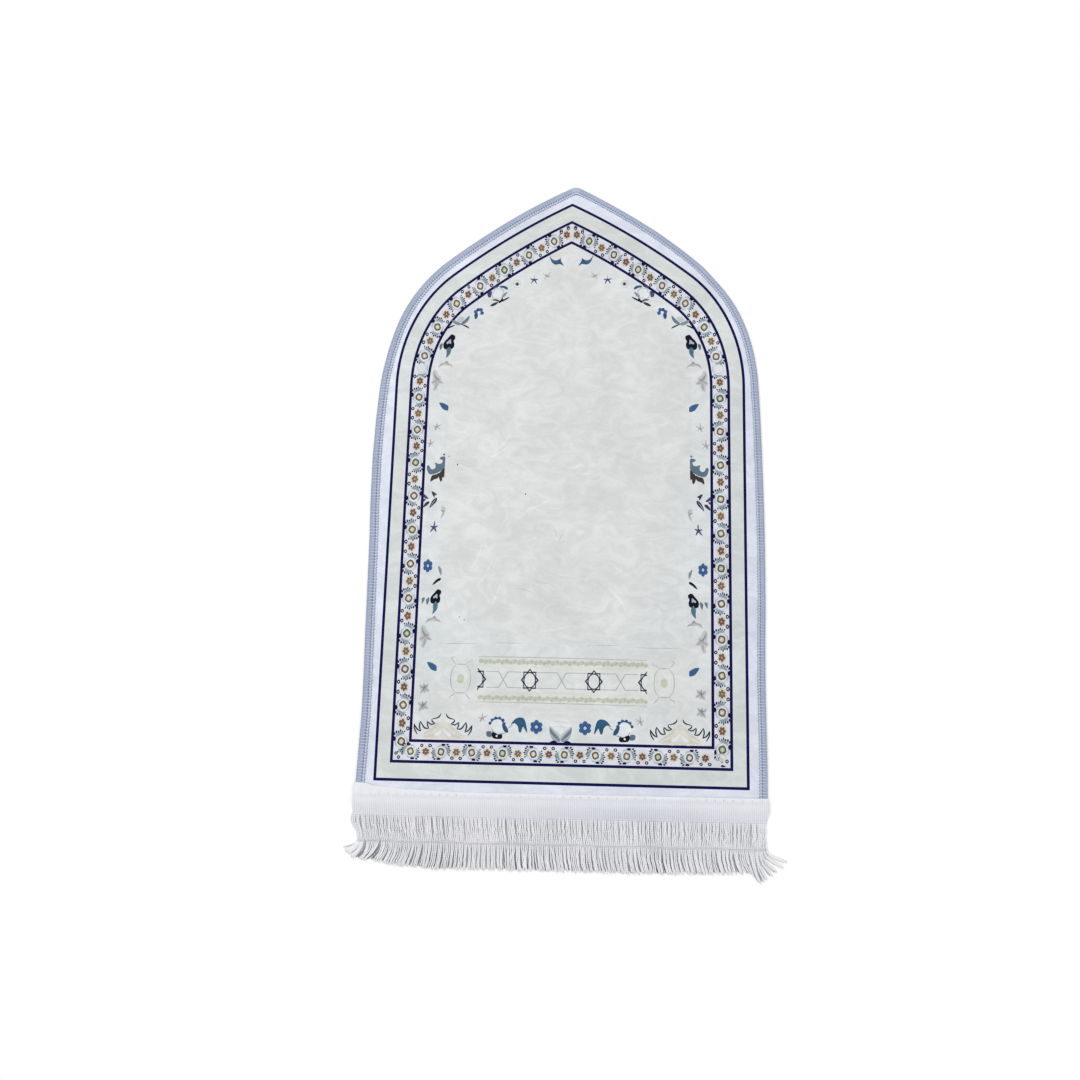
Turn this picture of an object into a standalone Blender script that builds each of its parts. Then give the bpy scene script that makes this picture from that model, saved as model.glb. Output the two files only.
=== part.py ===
"""Prayer rug with a pointed-arch top, lying flat with its underside at z = 0.

The printed velvet panel has an overlocked thread binding along its sides and arch. A woven fringe
trim is sewn over its lower edge. Metres, +Z up, +Y from the fringe towards the point of the arch.
The outline is drawn in the print's own frame, with y = 0 on the lowest printed line, and every
piece is then moved so that the origin is at the bottom centre of the whole rug's box.
"""

import math
import random

import bmesh
import bpy
import numpy as np

# The arch of the outermost printed line: straight sides, a tight lower arc and a long upper arc.
# It is drawn unstretched, and the whole print is then stretched along Y.
LINE_HALF_WIDTH = 0.295
SPRING_HEIGHT = 0.546
LOWER_RADIUS = 0.200
LOWER_SWEEP = math.radians(56.5)
UPPER_RADIUS = 1.24
LENGTH_STRETCH = 1.21

# How far the cloth's edge stands outside that line, as uneven as it was cut.
EDGE_COLUMNS = ("height", "left", "right")
EDGE_MARGIN = (
    (-0.030, 0.0315, 0.0293),
    (0.028, 0.0297, 0.0300),
    (0.100, 0.0275, 0.0293),
    (0.160, 0.0278, 0.0287),
    (0.220, 0.0292, 0.0292),
    (0.300, 0.0303, 0.0308),
    (0.390, 0.0316, 0.0310),
    (0.460, 0.0338, 0.0302),
    (0.530, 0.0344, 0.0288),
    (0.600, 0.0324, 0.0268),
    (0.650, 0.0294, 0.0246),
    (0.700, 0.0250, 0.0229),
    (0.740, 0.0234, 0.0224),
    (0.800, 0.0241, 0.0223),
    (0.860, 0.0239, 0.0208),
    (0.900, 0.0245, 0.0243),
    (0.940, 0.0247, 0.0268),
    (0.990, 0.0255, 0.0280),
    (1.030, 0.0250, 0.0295),
)
SIDE_STEPS = 12
LOWER_STEPS = 12
UPPER_STEPS = 9
POINT_RADIUS = 0.020
POINT_STEPS = 7

# Heights and thicknesses.
GAP = 0.0003
CLOTH_THICKNESS = 0.0030
BINDING_HEIGHT = 0.0034
BINDING_LIP = 0.0006
BINDING_EDGE = 0.0014
BINDING_CHAMFER = 0.0007
BINDING_LEFT = 0.0145
BINDING_RIGHT = 0.0120
BINDING_BLEND = 0.05
TONGUE_LOW = BINDING_LIP + GAP
TONGUE_HIGH = 0.0021
TONGUE_DROP = 0.0004

# The fringe trim. Its lines run across the rug at a slight slope.
CLOTH_END = -0.030
TRIM_SLOPE = 0.0082
HEADER_TOP = -0.0163
HEADER_STEP = -0.0312
HEADER_LANDING = -0.0365
HEADER_END = -0.0545
HEADER_LEFT = -0.3278
HEADER_RIGHT = 0.3225
HEADER_RAMP = 0.016
HEADER_THICKNESS = 0.0012
HEADER_LANDED_THICKNESS = 0.0018
STRANDS = 216
STRAND_SHARE = 0.60
STRAND_HEIGHT = 0.0015
TIP_HEIGHT = 0.0011
TIP_SHARE = 0.55
NECK_DROP = 0.018
NECK_DRAW = 0.6
STRANDS_PER_PANEL = 9
ROW_Y = -0.0931

# Where the strands pass the retaining stitch and where they end, by their share of the way across.
STRAND_COLUMNS = ("share", "row_x", "end_x", "end_y")
STRAND_PATHS = (
    (0.000, -0.3185, -0.3404, -0.1097),
    (0.012, -0.3115, -0.3230, -0.1237),
    (0.030, -0.3005, -0.3070, -0.1245),
    (0.060, -0.2815, -0.2865, -0.1255),
    (0.100, -0.2560, -0.2620, -0.1313),
    (0.200, -0.1920, -0.1970, -0.1360),
    (0.500, 0.0010, 0.0020, -0.1333),
    (0.750, 0.1610, 0.1630, -0.1323),
    (0.925, 0.2730, 0.2745, -0.1276),
    (0.965, 0.2988, 0.3005, -0.1262),
    (0.978, 0.3072, 0.3115, -0.1405),
    (0.988, 0.3140, 0.3300, -0.1290),
    (1.000, 0.3245, 0.3564, -0.1040),
)

# How unevenly the strands lie.
SCATTER_SEED = 5
END_SCATTER = 0.0022
SIDE_SCATTER = 0.0003
SWAY = 0.0012
SWAY_TURNS = 37.0
BEND_LIFT = 0.15

# The chain-stitch row.
STITCH_WIDTH = 0.0050
STITCH_THICKNESS = 0.0008
STITCH_WANDER = 0.0006
STITCH_WAVES = 61.0
STITCH_STEPS = 54

# Colour and roughness of each material.
PRINTED_VELVET = ((0.74, 0.77, 0.76), 0.75)
OVERLOCK_THREAD = ((0.47, 0.52, 0.66), 0.60)
FRINGE_YARN = ((0.76, 0.76, 0.79), 0.70)
STITCH_THREAD = ((0.72, 0.72, 0.76), 0.60)
SMOOTH_ANGLE = math.radians(40)


def clear_scene():
    for obj in list(bpy.data.objects):
        bpy.data.objects.remove(obj, do_unlink=True)


def material(name, color, roughness):
    made = bpy.data.materials.new(name)
    made.use_nodes = True
    shader = made.node_tree.nodes["Principled BSDF"]
    shader.inputs["Base Color"].default_value = (*color, 1.0)
    shader.inputs["Roughness"].default_value = roughness
    shader.inputs["Metallic"].default_value = 0.0
    return made


def arch_centres():
    """The centres of the lower and upper arcs of the right half, unstretched."""
    lower = np.array([LINE_HALF_WIDTH - LOWER_RADIUS, SPRING_HEIGHT])
    along = np.array([math.cos(LOWER_SWEEP), math.sin(LOWER_SWEEP)])
    return lower, lower + (LOWER_RADIUS - UPPER_RADIUS) * along


def arch_samples():
    """Points of the right half of the line from its foot to its point, each with its outward normal."""
    lower, upper = arch_centres()
    points, normals = [], []
    foot = CLOTH_END / LENGTH_STRETCH
    for v in np.linspace(foot, SPRING_HEIGHT, SIDE_STEPS, endpoint=False):
        points.append((LINE_HALF_WIDTH, v))
        normals.append((1.0, 0.0))
    for angle in np.linspace(0.0, LOWER_SWEEP, LOWER_STEPS, endpoint=False):
        normal = np.array([math.cos(angle), math.sin(angle)])
        points.append(lower + LOWER_RADIUS * normal)
        normals.append(normal)
    last = math.acos(-upper[0] / UPPER_RADIUS)
    for angle in np.linspace(LOWER_SWEEP, last, UPPER_STEPS):
        normal = np.array([math.cos(angle), math.sin(angle)])
        points.append(upper + UPPER_RADIUS * normal)
        normals.append(normal)
    return np.array(points), np.array(normals)


def trim_line(y, x):
    """The height of a line of the trim at x: all of them run at the same slight slope."""
    return y + TRIM_SLOPE * x


def column(table, columns, name):
    return np.array(table)[:, columns.index(name)]


def edge_half(side):
    """The cloth's edge on one side, from its foot to the point of the arch."""
    points, normals = arch_samples()
    heights = column(EDGE_MARGIN, EDGE_COLUMNS, "height")
    margins = column(EDGE_MARGIN, EDGE_COLUMNS, side)
    reach = (points[:, 1] + normals[:, 1] * margins.mean()) * LENGTH_STRETCH
    margin = np.interp(reach, heights, margins)
    edge = points + normals * margin[:, None]
    edge[:, 1] *= LENGTH_STRETCH
    edge[:, 0] *= -1.0 if side == "left" else 1.0
    edge[0, 1] = trim_line(CLOTH_END, edge[0, 0])
    return edge


def rounded_point(left, right):
    """The arc at the point of the arch, tangent to the last stretch of both sides."""
    rise_left, rise_right = (
        (side[-1] - side[-2]) / np.linalg.norm(side[-1] - side[-2]) for side in (left, right)
    )
    both = np.stack([rise_left, -rise_right], axis=1)
    corner = left[-1] + np.linalg.solve(both, right[-1] - left[-1])[0] * rise_left
    half_turn = math.acos(-rise_left @ rise_right) / 2.0
    inward = -(rise_left + rise_right) / np.linalg.norm(rise_left + rise_right)
    centre = corner + inward * POINT_RADIUS / math.cos(half_turn)
    middle = math.atan2(-inward[1], -inward[0])
    angles = np.linspace(middle + half_turn, middle - half_turn, POINT_STEPS)
    return centre + POINT_RADIUS * np.stack([np.cos(angles), np.sin(angles)], axis=1)


def edge_path():
    """The cloth's edge from the foot of its left side, over the arch, to the foot of its right side."""
    left = edge_half("left")
    right = edge_half("right")
    return np.vstack([left[:-1], rounded_point(left, right), right[-2::-1]])


def inset(path, distance):
    """The path moved towards the rug's middle by a distance for each point."""
    along = np.gradient(path, axis=0)
    along[0] = along[-1] = (0.0, 1.0)
    along[-1] *= -1.0
    along /= np.linalg.norm(along, axis=1)[:, None]
    inward = np.stack([along[:, 1], -along[:, 0]], axis=1)
    return path + inward * np.broadcast_to(distance, len(path))[:, None]


def binding_width(path):
    """The binding's width at each point: wider on the left side than on the right."""
    share = np.clip(path[:, 0] / BINDING_BLEND * 0.5 + 0.5, 0.0, 1.0)
    share = share * share * (3.0 - 2.0 * share)
    return BINDING_LEFT + (BINDING_RIGHT - BINDING_LEFT) * share


def add_object(name, bm, finish):
    bmesh.ops.recalc_face_normals(bm, faces=bm.faces)
    mesh = bpy.data.meshes.new(name)
    bm.to_mesh(mesh)
    bm.free()
    mesh.shade_smooth()
    mesh.set_sharp_from_angle(angle=SMOOTH_ANGLE)
    mesh.materials.append(finish)
    obj = bpy.data.objects.new(name, mesh)
    bpy.context.scene.collection.objects.link(obj)
    return obj


def ring(bm, path, height):
    return [bm.verts.new((x, y, height)) for x, y in path]


def bridge(bm, first, second, closed):
    count = len(first)
    for i in range(count if closed else count - 1):
        j = (i + 1) % count
        bm.faces.new((first[i], first[j], second[j], second[i]))


def make_cloth():
    """A flat panel with a thinner tongue round its sides, which the binding wraps."""
    edge = edge_path()
    body = inset(edge, binding_width(edge))
    tongue = inset(edge, BINDING_EDGE + GAP)
    for end in (0, -1):
        tongue[end, 1] -= TONGUE_DROP
    levels = (
        (body, CLOTH_THICKNESS),
        (body, TONGUE_HIGH),
        (tongue, TONGUE_HIGH),
        (tongue, TONGUE_LOW),
        (body, TONGUE_LOW),
        (body, 0.0),
    )
    bm = bmesh.new()
    rings = [ring(bm, path, height) for path, height in levels]
    for upper, lower in zip(rings, rings[1:]):
        bridge(bm, upper, lower, closed=True)
    bm.faces.new(rings[0])
    bm.faces.new(rings[-1])
    return add_object("rug_cloth", bm, material("printed_velvet", *PRINTED_VELVET))


def make_binding():
    """A channel of thread round the tongue: under it, round its edge and over it."""
    edge = edge_path()
    inner = binding_width(edge) - GAP
    inside = BINDING_EDGE
    lip_top = TONGUE_HIGH + GAP
    section = (
        (inner, 0.0),
        (BINDING_CHAMFER, 0.0),
        (0.0, BINDING_CHAMFER),
        (0.0, BINDING_HEIGHT - BINDING_CHAMFER),
        (BINDING_CHAMFER, BINDING_HEIGHT),
        (inner, BINDING_HEIGHT),
        (inner, lip_top),
        (inside, lip_top),
        (inside, BINDING_LIP),
        (inner, BINDING_LIP),
    )
    bm = bmesh.new()
    rows = [ring(bm, inset(edge, depth), height) for depth, height in section]
    for i, row in enumerate(rows):
        bridge(bm, row, rows[(i + 1) % len(rows)], closed=False)
    for end in (0, -1):
        bm.faces.new([row[end] for row in rows])
    return add_object("edge_binding", bm, material("overlock_thread", *OVERLOCK_THREAD))


def header_stations():
    """The borders of the strands' roots along the header's lower edge, with its two ends."""
    pitch = (HEADER_RIGHT - HEADER_LEFT) / STRANDS
    margin = pitch * (1.0 - STRAND_SHARE) / 2.0
    stations = [HEADER_LEFT]
    for k in range(STRANDS):
        start = HEADER_LEFT + k * pitch
        stations += [start + margin, start + pitch - margin]
    return stations + [HEADER_RIGHT]


def header_base(x):
    """How high the header's underside lies at x: over the cloth, or over the binding at both ends."""
    _, left_margin, right_margin = EDGE_MARGIN[0]
    left = BINDING_LEFT - LINE_HALF_WIDTH - left_margin
    right = LINE_HALF_WIDTH + right_margin - BINDING_RIGHT
    slope = (left + HEADER_RAMP, left + 2 * HEADER_RAMP, right - 2 * HEADER_RAMP, right - HEADER_RAMP)
    low = CLOTH_THICKNESS + GAP
    high = BINDING_HEIGHT + GAP
    return np.interp(x, slope, (high, low, low, high))


def strand_rings(share, start, end, scatter):
    """Centre, half width and height of a strand at its neck, the stitch, the bend and the tip."""
    shares = column(STRAND_PATHS, STRAND_COLUMNS, "share")
    row_x, end_x, end_y = (
        np.interp(share, shares, column(STRAND_PATHS, STRAND_COLUMNS, name))
        for name in STRAND_COLUMNS[1:]
    )
    root_x = (start + end) / 2.0
    wide = (end - start) / 2.0
    neck_x = root_x + NECK_DRAW * (row_x - root_x) + SWAY * math.sin(share * SWAY_TURNS)
    neck = np.array([neck_x, trim_line(HEADER_END - NECK_DROP, root_x)])
    row = np.array([row_x, trim_line(ROW_Y, row_x)])
    tip = np.array([end_x + SIDE_SCATTER * scatter[0], end_y + END_SCATTER * scatter[1]])
    bend = (row + tip) / 2.0
    bend[1] -= BEND_LIFT * (tip[0] - row[0])
    return (
        (neck, wide, STRAND_HEIGHT),
        (row, wide, STRAND_HEIGHT),
        (bend, wide, STRAND_HEIGHT),
        (tip, wide * TIP_SHARE, TIP_HEIGHT),
    )


def add_strand(bm, root, rings):
    """Extrudes a strand from its four root points, through its rings, to a closed tip."""
    centres = [centre for centre, _, _ in rings]
    before = root
    for i, (centre, wide, height) in enumerate(rings):
        start = centres[max(i - 1, 0)]
        stop = centres[min(i + 1, len(rings) - 1)]
        along = (stop - start) / np.linalg.norm(stop - start)
        across = np.array([-along[1], along[0]]) * wide
        left, right = centre - across, centre + across
        now = [
            bm.verts.new((*left, height)),
            bm.verts.new((*right, height)),
            bm.verts.new((*right, 0.0)),
            bm.verts.new((*left, 0.0)),
        ]
        bridge(bm, before, now, closed=True)
        before = now
    bm.faces.new(before)


def header_rows(bm, stations):
    """Top and bottom points of the header's upper rows, at the borders of its panels."""
    rows = []
    for y, landed in ((HEADER_TOP, False), (HEADER_STEP, False), (HEADER_LANDING, True)):
        thick = HEADER_LANDED_THICKNESS if landed else HEADER_THICKNESS
        top, bottom = [], []
        for x in stations:
            base = 0.0 if landed else header_base(x)
            bottom.append(bm.verts.new((x, trim_line(y, x), base)))
            top.append(bm.verts.new((x, trim_line(y, x), base + thick)))
        rows.append((top, bottom))
    return rows


def make_fringe():
    """The header tape, stepping down off the cloth, with its strands fused to its lower edge."""
    rng = random.Random(SCATTER_SEED)
    fine = header_stations()
    step = 2 * STRANDS_PER_PANEL
    marks = list(range(0, len(fine), step))
    marks[-1] = len(fine) - 1
    bm = bmesh.new()
    rows = header_rows(bm, [fine[i] for i in marks])
    low_top = [bm.verts.new((x, trim_line(HEADER_END, x), HEADER_LANDED_THICKNESS)) for x in fine]
    low_bottom = [bm.verts.new((x, trim_line(HEADER_END, x), 0.0)) for x in fine]

    for (top, bottom), (next_top, next_bottom) in zip(rows, rows[1:]):
        bridge(bm, top, next_top, closed=False)
        bridge(bm, bottom, next_bottom, closed=False)
        for end in (0, -1):
            bm.faces.new((top[end], next_top[end], next_bottom[end], bottom[end]))
    bridge(bm, rows[0][0], rows[0][1], closed=False)
    last_top, last_bottom = rows[-1]
    for k in range(len(marks) - 1):
        span = slice(marks[k], marks[k + 1] + 1)
        bm.faces.new([last_top[k + 1], last_top[k], *low_top[span]])
        bm.faces.new([last_bottom[k + 1], last_bottom[k], *low_bottom[span]])
    for end in (0, -1):
        bm.faces.new((last_top[end], low_top[end], low_bottom[end], last_bottom[end]))

    for i in range(len(fine) - 1):
        corners = [low_top[i], low_top[i + 1], low_bottom[i + 1], low_bottom[i]]
        if i % 2 == 0:
            bm.faces.new(corners)
            continue
        share = (i - 1) / 2 / (STRANDS - 1)
        scatter = (rng.uniform(-1, 1), rng.uniform(-1, 1))
        add_strand(bm, corners, strand_rings(share, fine[i], fine[i + 1], scatter))
    return add_object("fringe", bm, material("fringe_yarn", *FRINGE_YARN))


def make_retaining_stitch():
    """A flat row of chain stitch that lies across the strands."""
    left = STRAND_PATHS[0][1]
    right = STRAND_PATHS[-1][1]
    low = STRAND_HEIGHT + GAP
    high = low + STITCH_THICKNESS
    stations = np.linspace(left, right, STITCH_STEPS)
    centre = trim_line(ROW_Y, stations) + STITCH_WANDER * np.sin(stations * STITCH_WAVES)
    bm = bmesh.new()
    rows = []
    for side, height in ((1, low), (1, high), (-1, high), (-1, low)):
        path = np.stack([stations, centre + side * STITCH_WIDTH / 2.0], axis=1)
        rows.append(ring(bm, path, height))
    for i, row in enumerate(rows):
        bridge(bm, row, rows[(i + 1) % len(rows)], closed=False)
    for end in (0, -1):
        bm.faces.new([row[end] for row in rows])
    return add_object("retaining_stitch", bm, material("stitch_thread", *STITCH_THREAD))


def centre_on_box(objects):
    """Moves the meshes so that the origin is at the bottom centre of their common box."""
    corners = np.array([v.co for obj in objects for v in obj.data.vertices])
    shift = -(corners.min(axis=0) + corners.max(axis=0)) / 2.0
    shift[2] = -corners[:, 2].min()
    for obj in objects:
        for vertex in obj.data.vertices:
            vertex.co.x += shift[0]
            vertex.co.y += shift[1]
            vertex.co.z += shift[2]


def main():
    clear_scene()
    centre_on_box([make_cloth(), make_binding(), make_fringe(), make_retaining_stitch()])


main()
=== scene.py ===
"""The looks of the prayer rug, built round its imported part.

The velvet is one closed mesh whose top face is cut along the outline of every printed motif. The
binding is made of thread bars laid side by side, and the trim of ribs, yarns and chain stitch.
Everything is charted in millimetres in the print's own frame: x = 0 on the middle line, y = 0 on
the lowest printed line and +y towards the point of the arch. build() moves it onto the frame.
"""

import math

import bpy
import numpy as np
from mathutils import Euler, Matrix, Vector
from mathutils.geometry import delaunay_2d_cdt


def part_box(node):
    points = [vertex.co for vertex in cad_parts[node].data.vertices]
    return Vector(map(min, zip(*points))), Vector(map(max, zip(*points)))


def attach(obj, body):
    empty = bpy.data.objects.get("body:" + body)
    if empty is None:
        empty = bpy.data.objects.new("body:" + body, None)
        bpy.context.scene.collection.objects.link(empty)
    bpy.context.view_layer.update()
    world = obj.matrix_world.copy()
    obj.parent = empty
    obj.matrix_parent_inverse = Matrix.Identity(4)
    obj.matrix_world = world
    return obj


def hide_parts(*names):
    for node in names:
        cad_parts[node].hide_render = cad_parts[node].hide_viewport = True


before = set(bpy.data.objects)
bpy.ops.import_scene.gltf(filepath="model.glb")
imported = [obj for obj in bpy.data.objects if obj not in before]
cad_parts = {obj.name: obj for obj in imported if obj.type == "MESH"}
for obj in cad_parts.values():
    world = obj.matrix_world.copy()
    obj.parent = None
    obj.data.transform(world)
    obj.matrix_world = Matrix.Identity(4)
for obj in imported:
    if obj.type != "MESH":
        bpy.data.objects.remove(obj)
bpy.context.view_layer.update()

MM = 0.001

# The arch of the outermost printed line, drawn unstretched and then stretched along y.
LINE_HALF_WIDTH = 295.0
SPRING_HEIGHT = 546.0
LOWER_RADIUS = 200.0
LOWER_SWEEP = math.radians(56.5)
UPPER_RADIUS = 1240.0
LENGTH_STRETCH = 1.21

# How far the cloth's edge stands outside that line, as uneven as it was cut.
EDGE_COLUMNS = ("height", "left", "right")
EDGE_MARGIN = (
    (-30, 31.5, 29.3),
    (28, 29.7, 30.0),
    (100, 27.5, 29.3),
    (160, 27.8, 28.7),
    (220, 29.2, 29.2),
    (300, 30.3, 30.8),
    (390, 31.6, 31.0),
    (460, 33.8, 30.2),
    (530, 34.4, 28.8),
    (600, 32.4, 26.8),
    (650, 29.4, 24.6),
    (700, 25.0, 22.9),
    (740, 23.4, 22.4),
    (800, 24.1, 22.3),
    (860, 23.9, 20.8),
    (900, 24.5, 24.3),
    (940, 24.7, 26.8),
    (990, 25.5, 28.0),
    (1030, 25.0, 29.5),
)
SIDE_STEPS = 26
LOWER_STEPS = 26
UPPER_STEPS = 26
POINT_RADIUS = 20.0
POINT_STEPS = 13

# The printed lines: how far inside the first one each lies, and the height of its lowest side.
LINES = ((0.0, 0.0), (25.2, 28.6), (54.2, 61.7))
LINE_WIDTH = 4.6
VERGE = (87.0, 112.0)
BOTTOM_SLOPE = 0.0025

# The border's motifs, along the middle of the strip between the second and third lines.
BORDER_DISTANCE = 39.7
ARCH_START = 9.6
ARCH_PITCH = 24.1
ARCH_UNITS = 14
JOIN_AT = 341.5
SIDE_START = 361.2
SIDE_PITCH = 23.95
SIDE_UNITS = 22
ROW_START = -239.7
ROW_PITCH = 49.3
ROW_UNITS = 10
ROW_HEIGHT = 45.0

# The cloth.
CLOTH_THICKNESS = 3.0
CLOTH_END = -30.0
GRID_STEP = 5.0
EDGE_INSET = 3.0
EDGE_TOP = 2.2
EDGE_BOTTOM = 0.9
PRESSED_INSIDE = 2.0
PRESSED_OVER = 3.0

# The binding: its width on the left and right side, and the bars of thread that cross it.
BINDING_LEFT = 14.5
BINDING_RIGHT = 12.0
BINDING_BLEND = 50.0
BAR_PITCH = 2.45
BAR_SIDES = 5
BAR_HALF_WIDE = 0.49 * BAR_PITCH
BAR_HALF_HIGH = 0.42
# How uneven the bars are in height and at their inner ends, and what sets every second one apart.
BAR_UNEVEN = 0.06
BAR_END_UNEVEN = 0.25
PAIR_STEP = 0.05
PAIR_END_STEP = 0.6
EVEN_SHADE = 0.14
# Past the needle line the bars lean to and fro in turn.
BAR_LEAN = 1.4
LEAN_FROM = 0.7

# The trim. Its lines run across the rug at a slight slope.
TRIM_SLOPE = 0.0082
HEADER_TOP = -16.3
HEADER_STEP = -31.2
HEADER_LANDING = -50.0
HEADER_END = -54.5
HEADER_LEFT = -327.8
HEADER_RIGHT = 322.5
# The header's upper edge rises at its left end. Each row: x, y.
HEADER_EDGE = (
    (-327.8, -3.5), (-312.0, -4.0), (-296.0, -8.0), (-250.0, -12.5), (-150.0, -16.0), (322.5, -16.3),
)
# The heights of its other rows of points, and how high its ribs and how thick the tape are down it.
HEADER_DOWN = (
    -19.2, -20.5, -21.8, -24.0, -28.0, HEADER_STEP, -34.0, -37.0, -40.0, -43.0, -46.0, -49.0, -53.0,
    HEADER_END,
)
RIB_HEIGHT = ((HEADER_END, -48.0, HEADER_STEP, -22.0, -19.0), (1.0, 0.75, 0.4, 0.25, 0.08))
TAPE_THICKNESS = ((HEADER_END, HEADER_LANDING, HEADER_STEP, HEADER_TOP), (1.4, 1.4, 1.0, 0.9))
RIB_STATIONS = 5
# How far the tape's right end stands out over the binding.
HEADER_FLARE = 2.6
NEEDLE_PITCH = 14.0
NEEDLE_LINE = -20.5
NEEDLE_DEPTH = 0.55
STRANDS = 216
ROW_Y = -93.1
CHAIN_LOOPS = 132
CHAIN_OVERLAP = 0.72
CHAIN_HALF_WIDE = 1.1
CHAIN_LEVEL = 3.0
CHAIN_RADIUS = 0.3
CHAIN_SIDES = 5
YARN_SIDES = 6
YARN_STATIONS = 17
END_UNEVEN = 0.9
UNDER_SHORTER = 3.0
WANDER_NEIGHBOURS = 5
# How far along a yarn, and how freely there, it wanders; and how deep there it is pressed down.
WANDER_FREE = ((0.0, 0.06, 0.25, 0.42, 0.5, 0.62, 1.0), (0.0, 0.1, 0.9, 0.55, 0.25, 0.4, 0.6))
YARN_SINK = ((0.0, 0.1, 0.44, 0.5, 0.56), (0.8, 0.0, 0.0, 0.3, 0.0))
# How far between header and row, and how far aside there, the leftmost yarns bulge.
LEFT_BULGE = ((0.0, 0.2, 0.4, 0.7, 1.0), (0.0, -3.2, -2.4, 3.6, 1.0))
# How far along a yarn, and how strongly there, it is drawn into its lock above and below the row.
UPPER_PULL = ((0.0, 0.06, 0.14, 0.3, 0.44, 0.5), (0.0, 0.2, 0.3, 0.22, 0.1, 0.0))
LOWER_PULL = ((0.0, 0.49, 0.55, 0.7, 1.0), (0.0, 0.0, 0.15, 0.28, 0.36))
# How far along a yarn of the under layer, and how deep in shade it lies there.
UNDER_SHADE = ((0.0, 0.06, 0.16, 0.3, 0.45, 0.52, 0.6, 1.0), (0.1, 0.6, 0.62, 0.5, 0.4, 0.35, 0.75, 0.95))
# Where the fringe falls open. Each row: x, the share of a yarn's length where it starts, how wide it
# is at the cut ends, and how far to both sides it pushes the yarns.
PARTINGS = (
    (-305.0, 0.44, 9.0, 6.0),
    (-292.0, 0.56, 4.0, 5.0),
    (-281.0, 0.48, 11.0, 9.0),
    (-268.0, 0.55, 4.0, 7.0),
    (-250.0, 0.60, 3.0, 6.0),
    (-226.0, 0.60, 2.2, 9.0),
    (-142.0, 0.60, 2.0, 9.0),
    (-85.0, 0.52, 3.0, 10.0),
    (-37.0, 0.52, 3.6, 10.0),
    (-12.0, 0.62, 3.0, 8.0),
    (64.0, 0.60, 2.6, 9.0),
    (121.0, 0.58, 2.8, 9.0),
    (190.0, 0.62, 2.4, 9.0),
    (240.0, 0.58, 2.4, 8.0),
    (271.0, 0.56, 4.0, 9.0),
    (285.0, 0.54, 3.0, 7.0),
    (296.0, 0.52, 4.0, 7.0),
    (313.0, 0.56, 3.0, 6.0),
)
# Where a yarn lies. Each row: its share of the way across the header, x at the stitch row, x and y of
# its cut end.
STRAND_PATHS = (
    (0.000, -318.5, -340.4, -109.7),
    (0.012, -311.5, -325.0, -121.5),
    (0.030, -300.5, -314.0, -124.5),
    (0.060, -281.5, -298.0, -125.5),
    (0.100, -256.0, -266.5, -130.5),
    (0.200, -192.0, -197.0, -136.0),
    (0.350, -95.0, -93.0, -134.5),
    (0.500, 1.0, 6.0, -133.3),
    (0.750, 161.0, 167.5, -132.3),
    (0.900, 257.0, 264.0, -128.6),
    (0.938, 281.0, 291.0, -127.0),
    (0.952, 290.5, 301.5, -128.0),
    (0.962, 297.0, 307.0, -139.5),
    (0.972, 303.5, 314.0, -140.5),
    (0.984, 311.5, 330.0, -129.5),
    (0.992, 317.5, 344.0, -117.0),
    (1.000, 324.5, 356.4, -104.0),
)

# Where the photograph was taken from, in the print's frame, and how the camera is turned.
CAMERA_PLACE = (77.0, 35.4, 1747.7)
CAMERA_TURN = (11.63, 3.56, 1.54)
CAMERA_LENS = 36.0
CAMERA_SENSOR = 36.0

INKS = {
    "margin": "#DDE2EE",
    "band": "#D5DAD9",
    "strip": "#D9DCE4",
    "verge": "#DADDDE",
    "field": "#D9DBDB",
    "navy": "#020248",
    "ink": "#0C0C1C",
    "disc": "#DBDDDB",
    "halo": "#A9B9C2",
    "crescent": "#899CA9",
    "dash": "#1C2634",
    "wedge": "#080838",
    "olive": "#665C40",
    "taupe": "#65554A",
    "mauve": "#6C5A56",
    "moss": "#5A5A46",
    "cream": "#C9C6B4",
    "blush": "#CFC9C2",
    "sage": "#AFB69C",
    "core": "#D9D8CE",
    "ember": "#D4D0C8",
    "rust": "#74574A",
    "tan": "#7C684F",
    "brick": "#70504A",
    "peach": "#C0A48F",
    "small": "#242838",
    "smallmid": "#DCDEE4",
    "blue": "#3B5E8C",
    "deepblue": "#2F4E79",
    "skyblue": "#AFCBE2",
    "violet": "#46466F",
    "teal": "#4C7385",
    "darkteal": "#2C5878",
    "slate": "#5B7083",
    "steel": "#838C95",
    "silver": "#BBC4CA",
    "faded": "#C2C3C3",
    "feather": "#A9A8AA",
    "shadow": "#86858A",
    "umber": "#3C3738",
    "plum": "#393650",
    "greenleaf": "#647F80",
    "lilac": "#A9B3C6",
    "sand": "#CDCABD",
    "sandlight": "#D7D6CD",
    "blot": "#C2C8B4",
    "key": "#C0C4B8",
    "keydark": "#B2B7AA",
    "panel": "#DADDDB",
    "panelstrip": "#D8DAD4",
    # Print lines; along the pile's creases the same ink is painted shade.
    "thin": "#AEB3B1",
    "frame": "#2A2F44",
    "pale": "#E0E4E6",
    # A light print ink, also painted sheen on the pile.
    "gleam": "#DFE2E1",
    # A grey print ink, also painted shade on the pile.
    "dull": "#D3D6D5",
    # Painted shade along the pile's creases.
    "crease_shade": "#C3C6C2",
    "fleck": "#3C3C3C",
}


# ---------------------------------------------------------------- outline of the arch and the edge

def column(table, columns, name):
    return np.array(table, float)[:, columns.index(name)]


def spokes(angles):
    """The unit vectors at these angles."""
    return np.stack([np.cos(angles), np.sin(angles)], axis=1)


def unit(vectors):
    return vectors / np.linalg.norm(vectors, axis=-1, keepdims=True)


def eased(share):
    """The share, held between 0 and 1, with a gentle start and end."""
    share = np.clip(share, 0.0, 1.0)
    return share * share * (3.0 - 2.0 * share)


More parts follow.
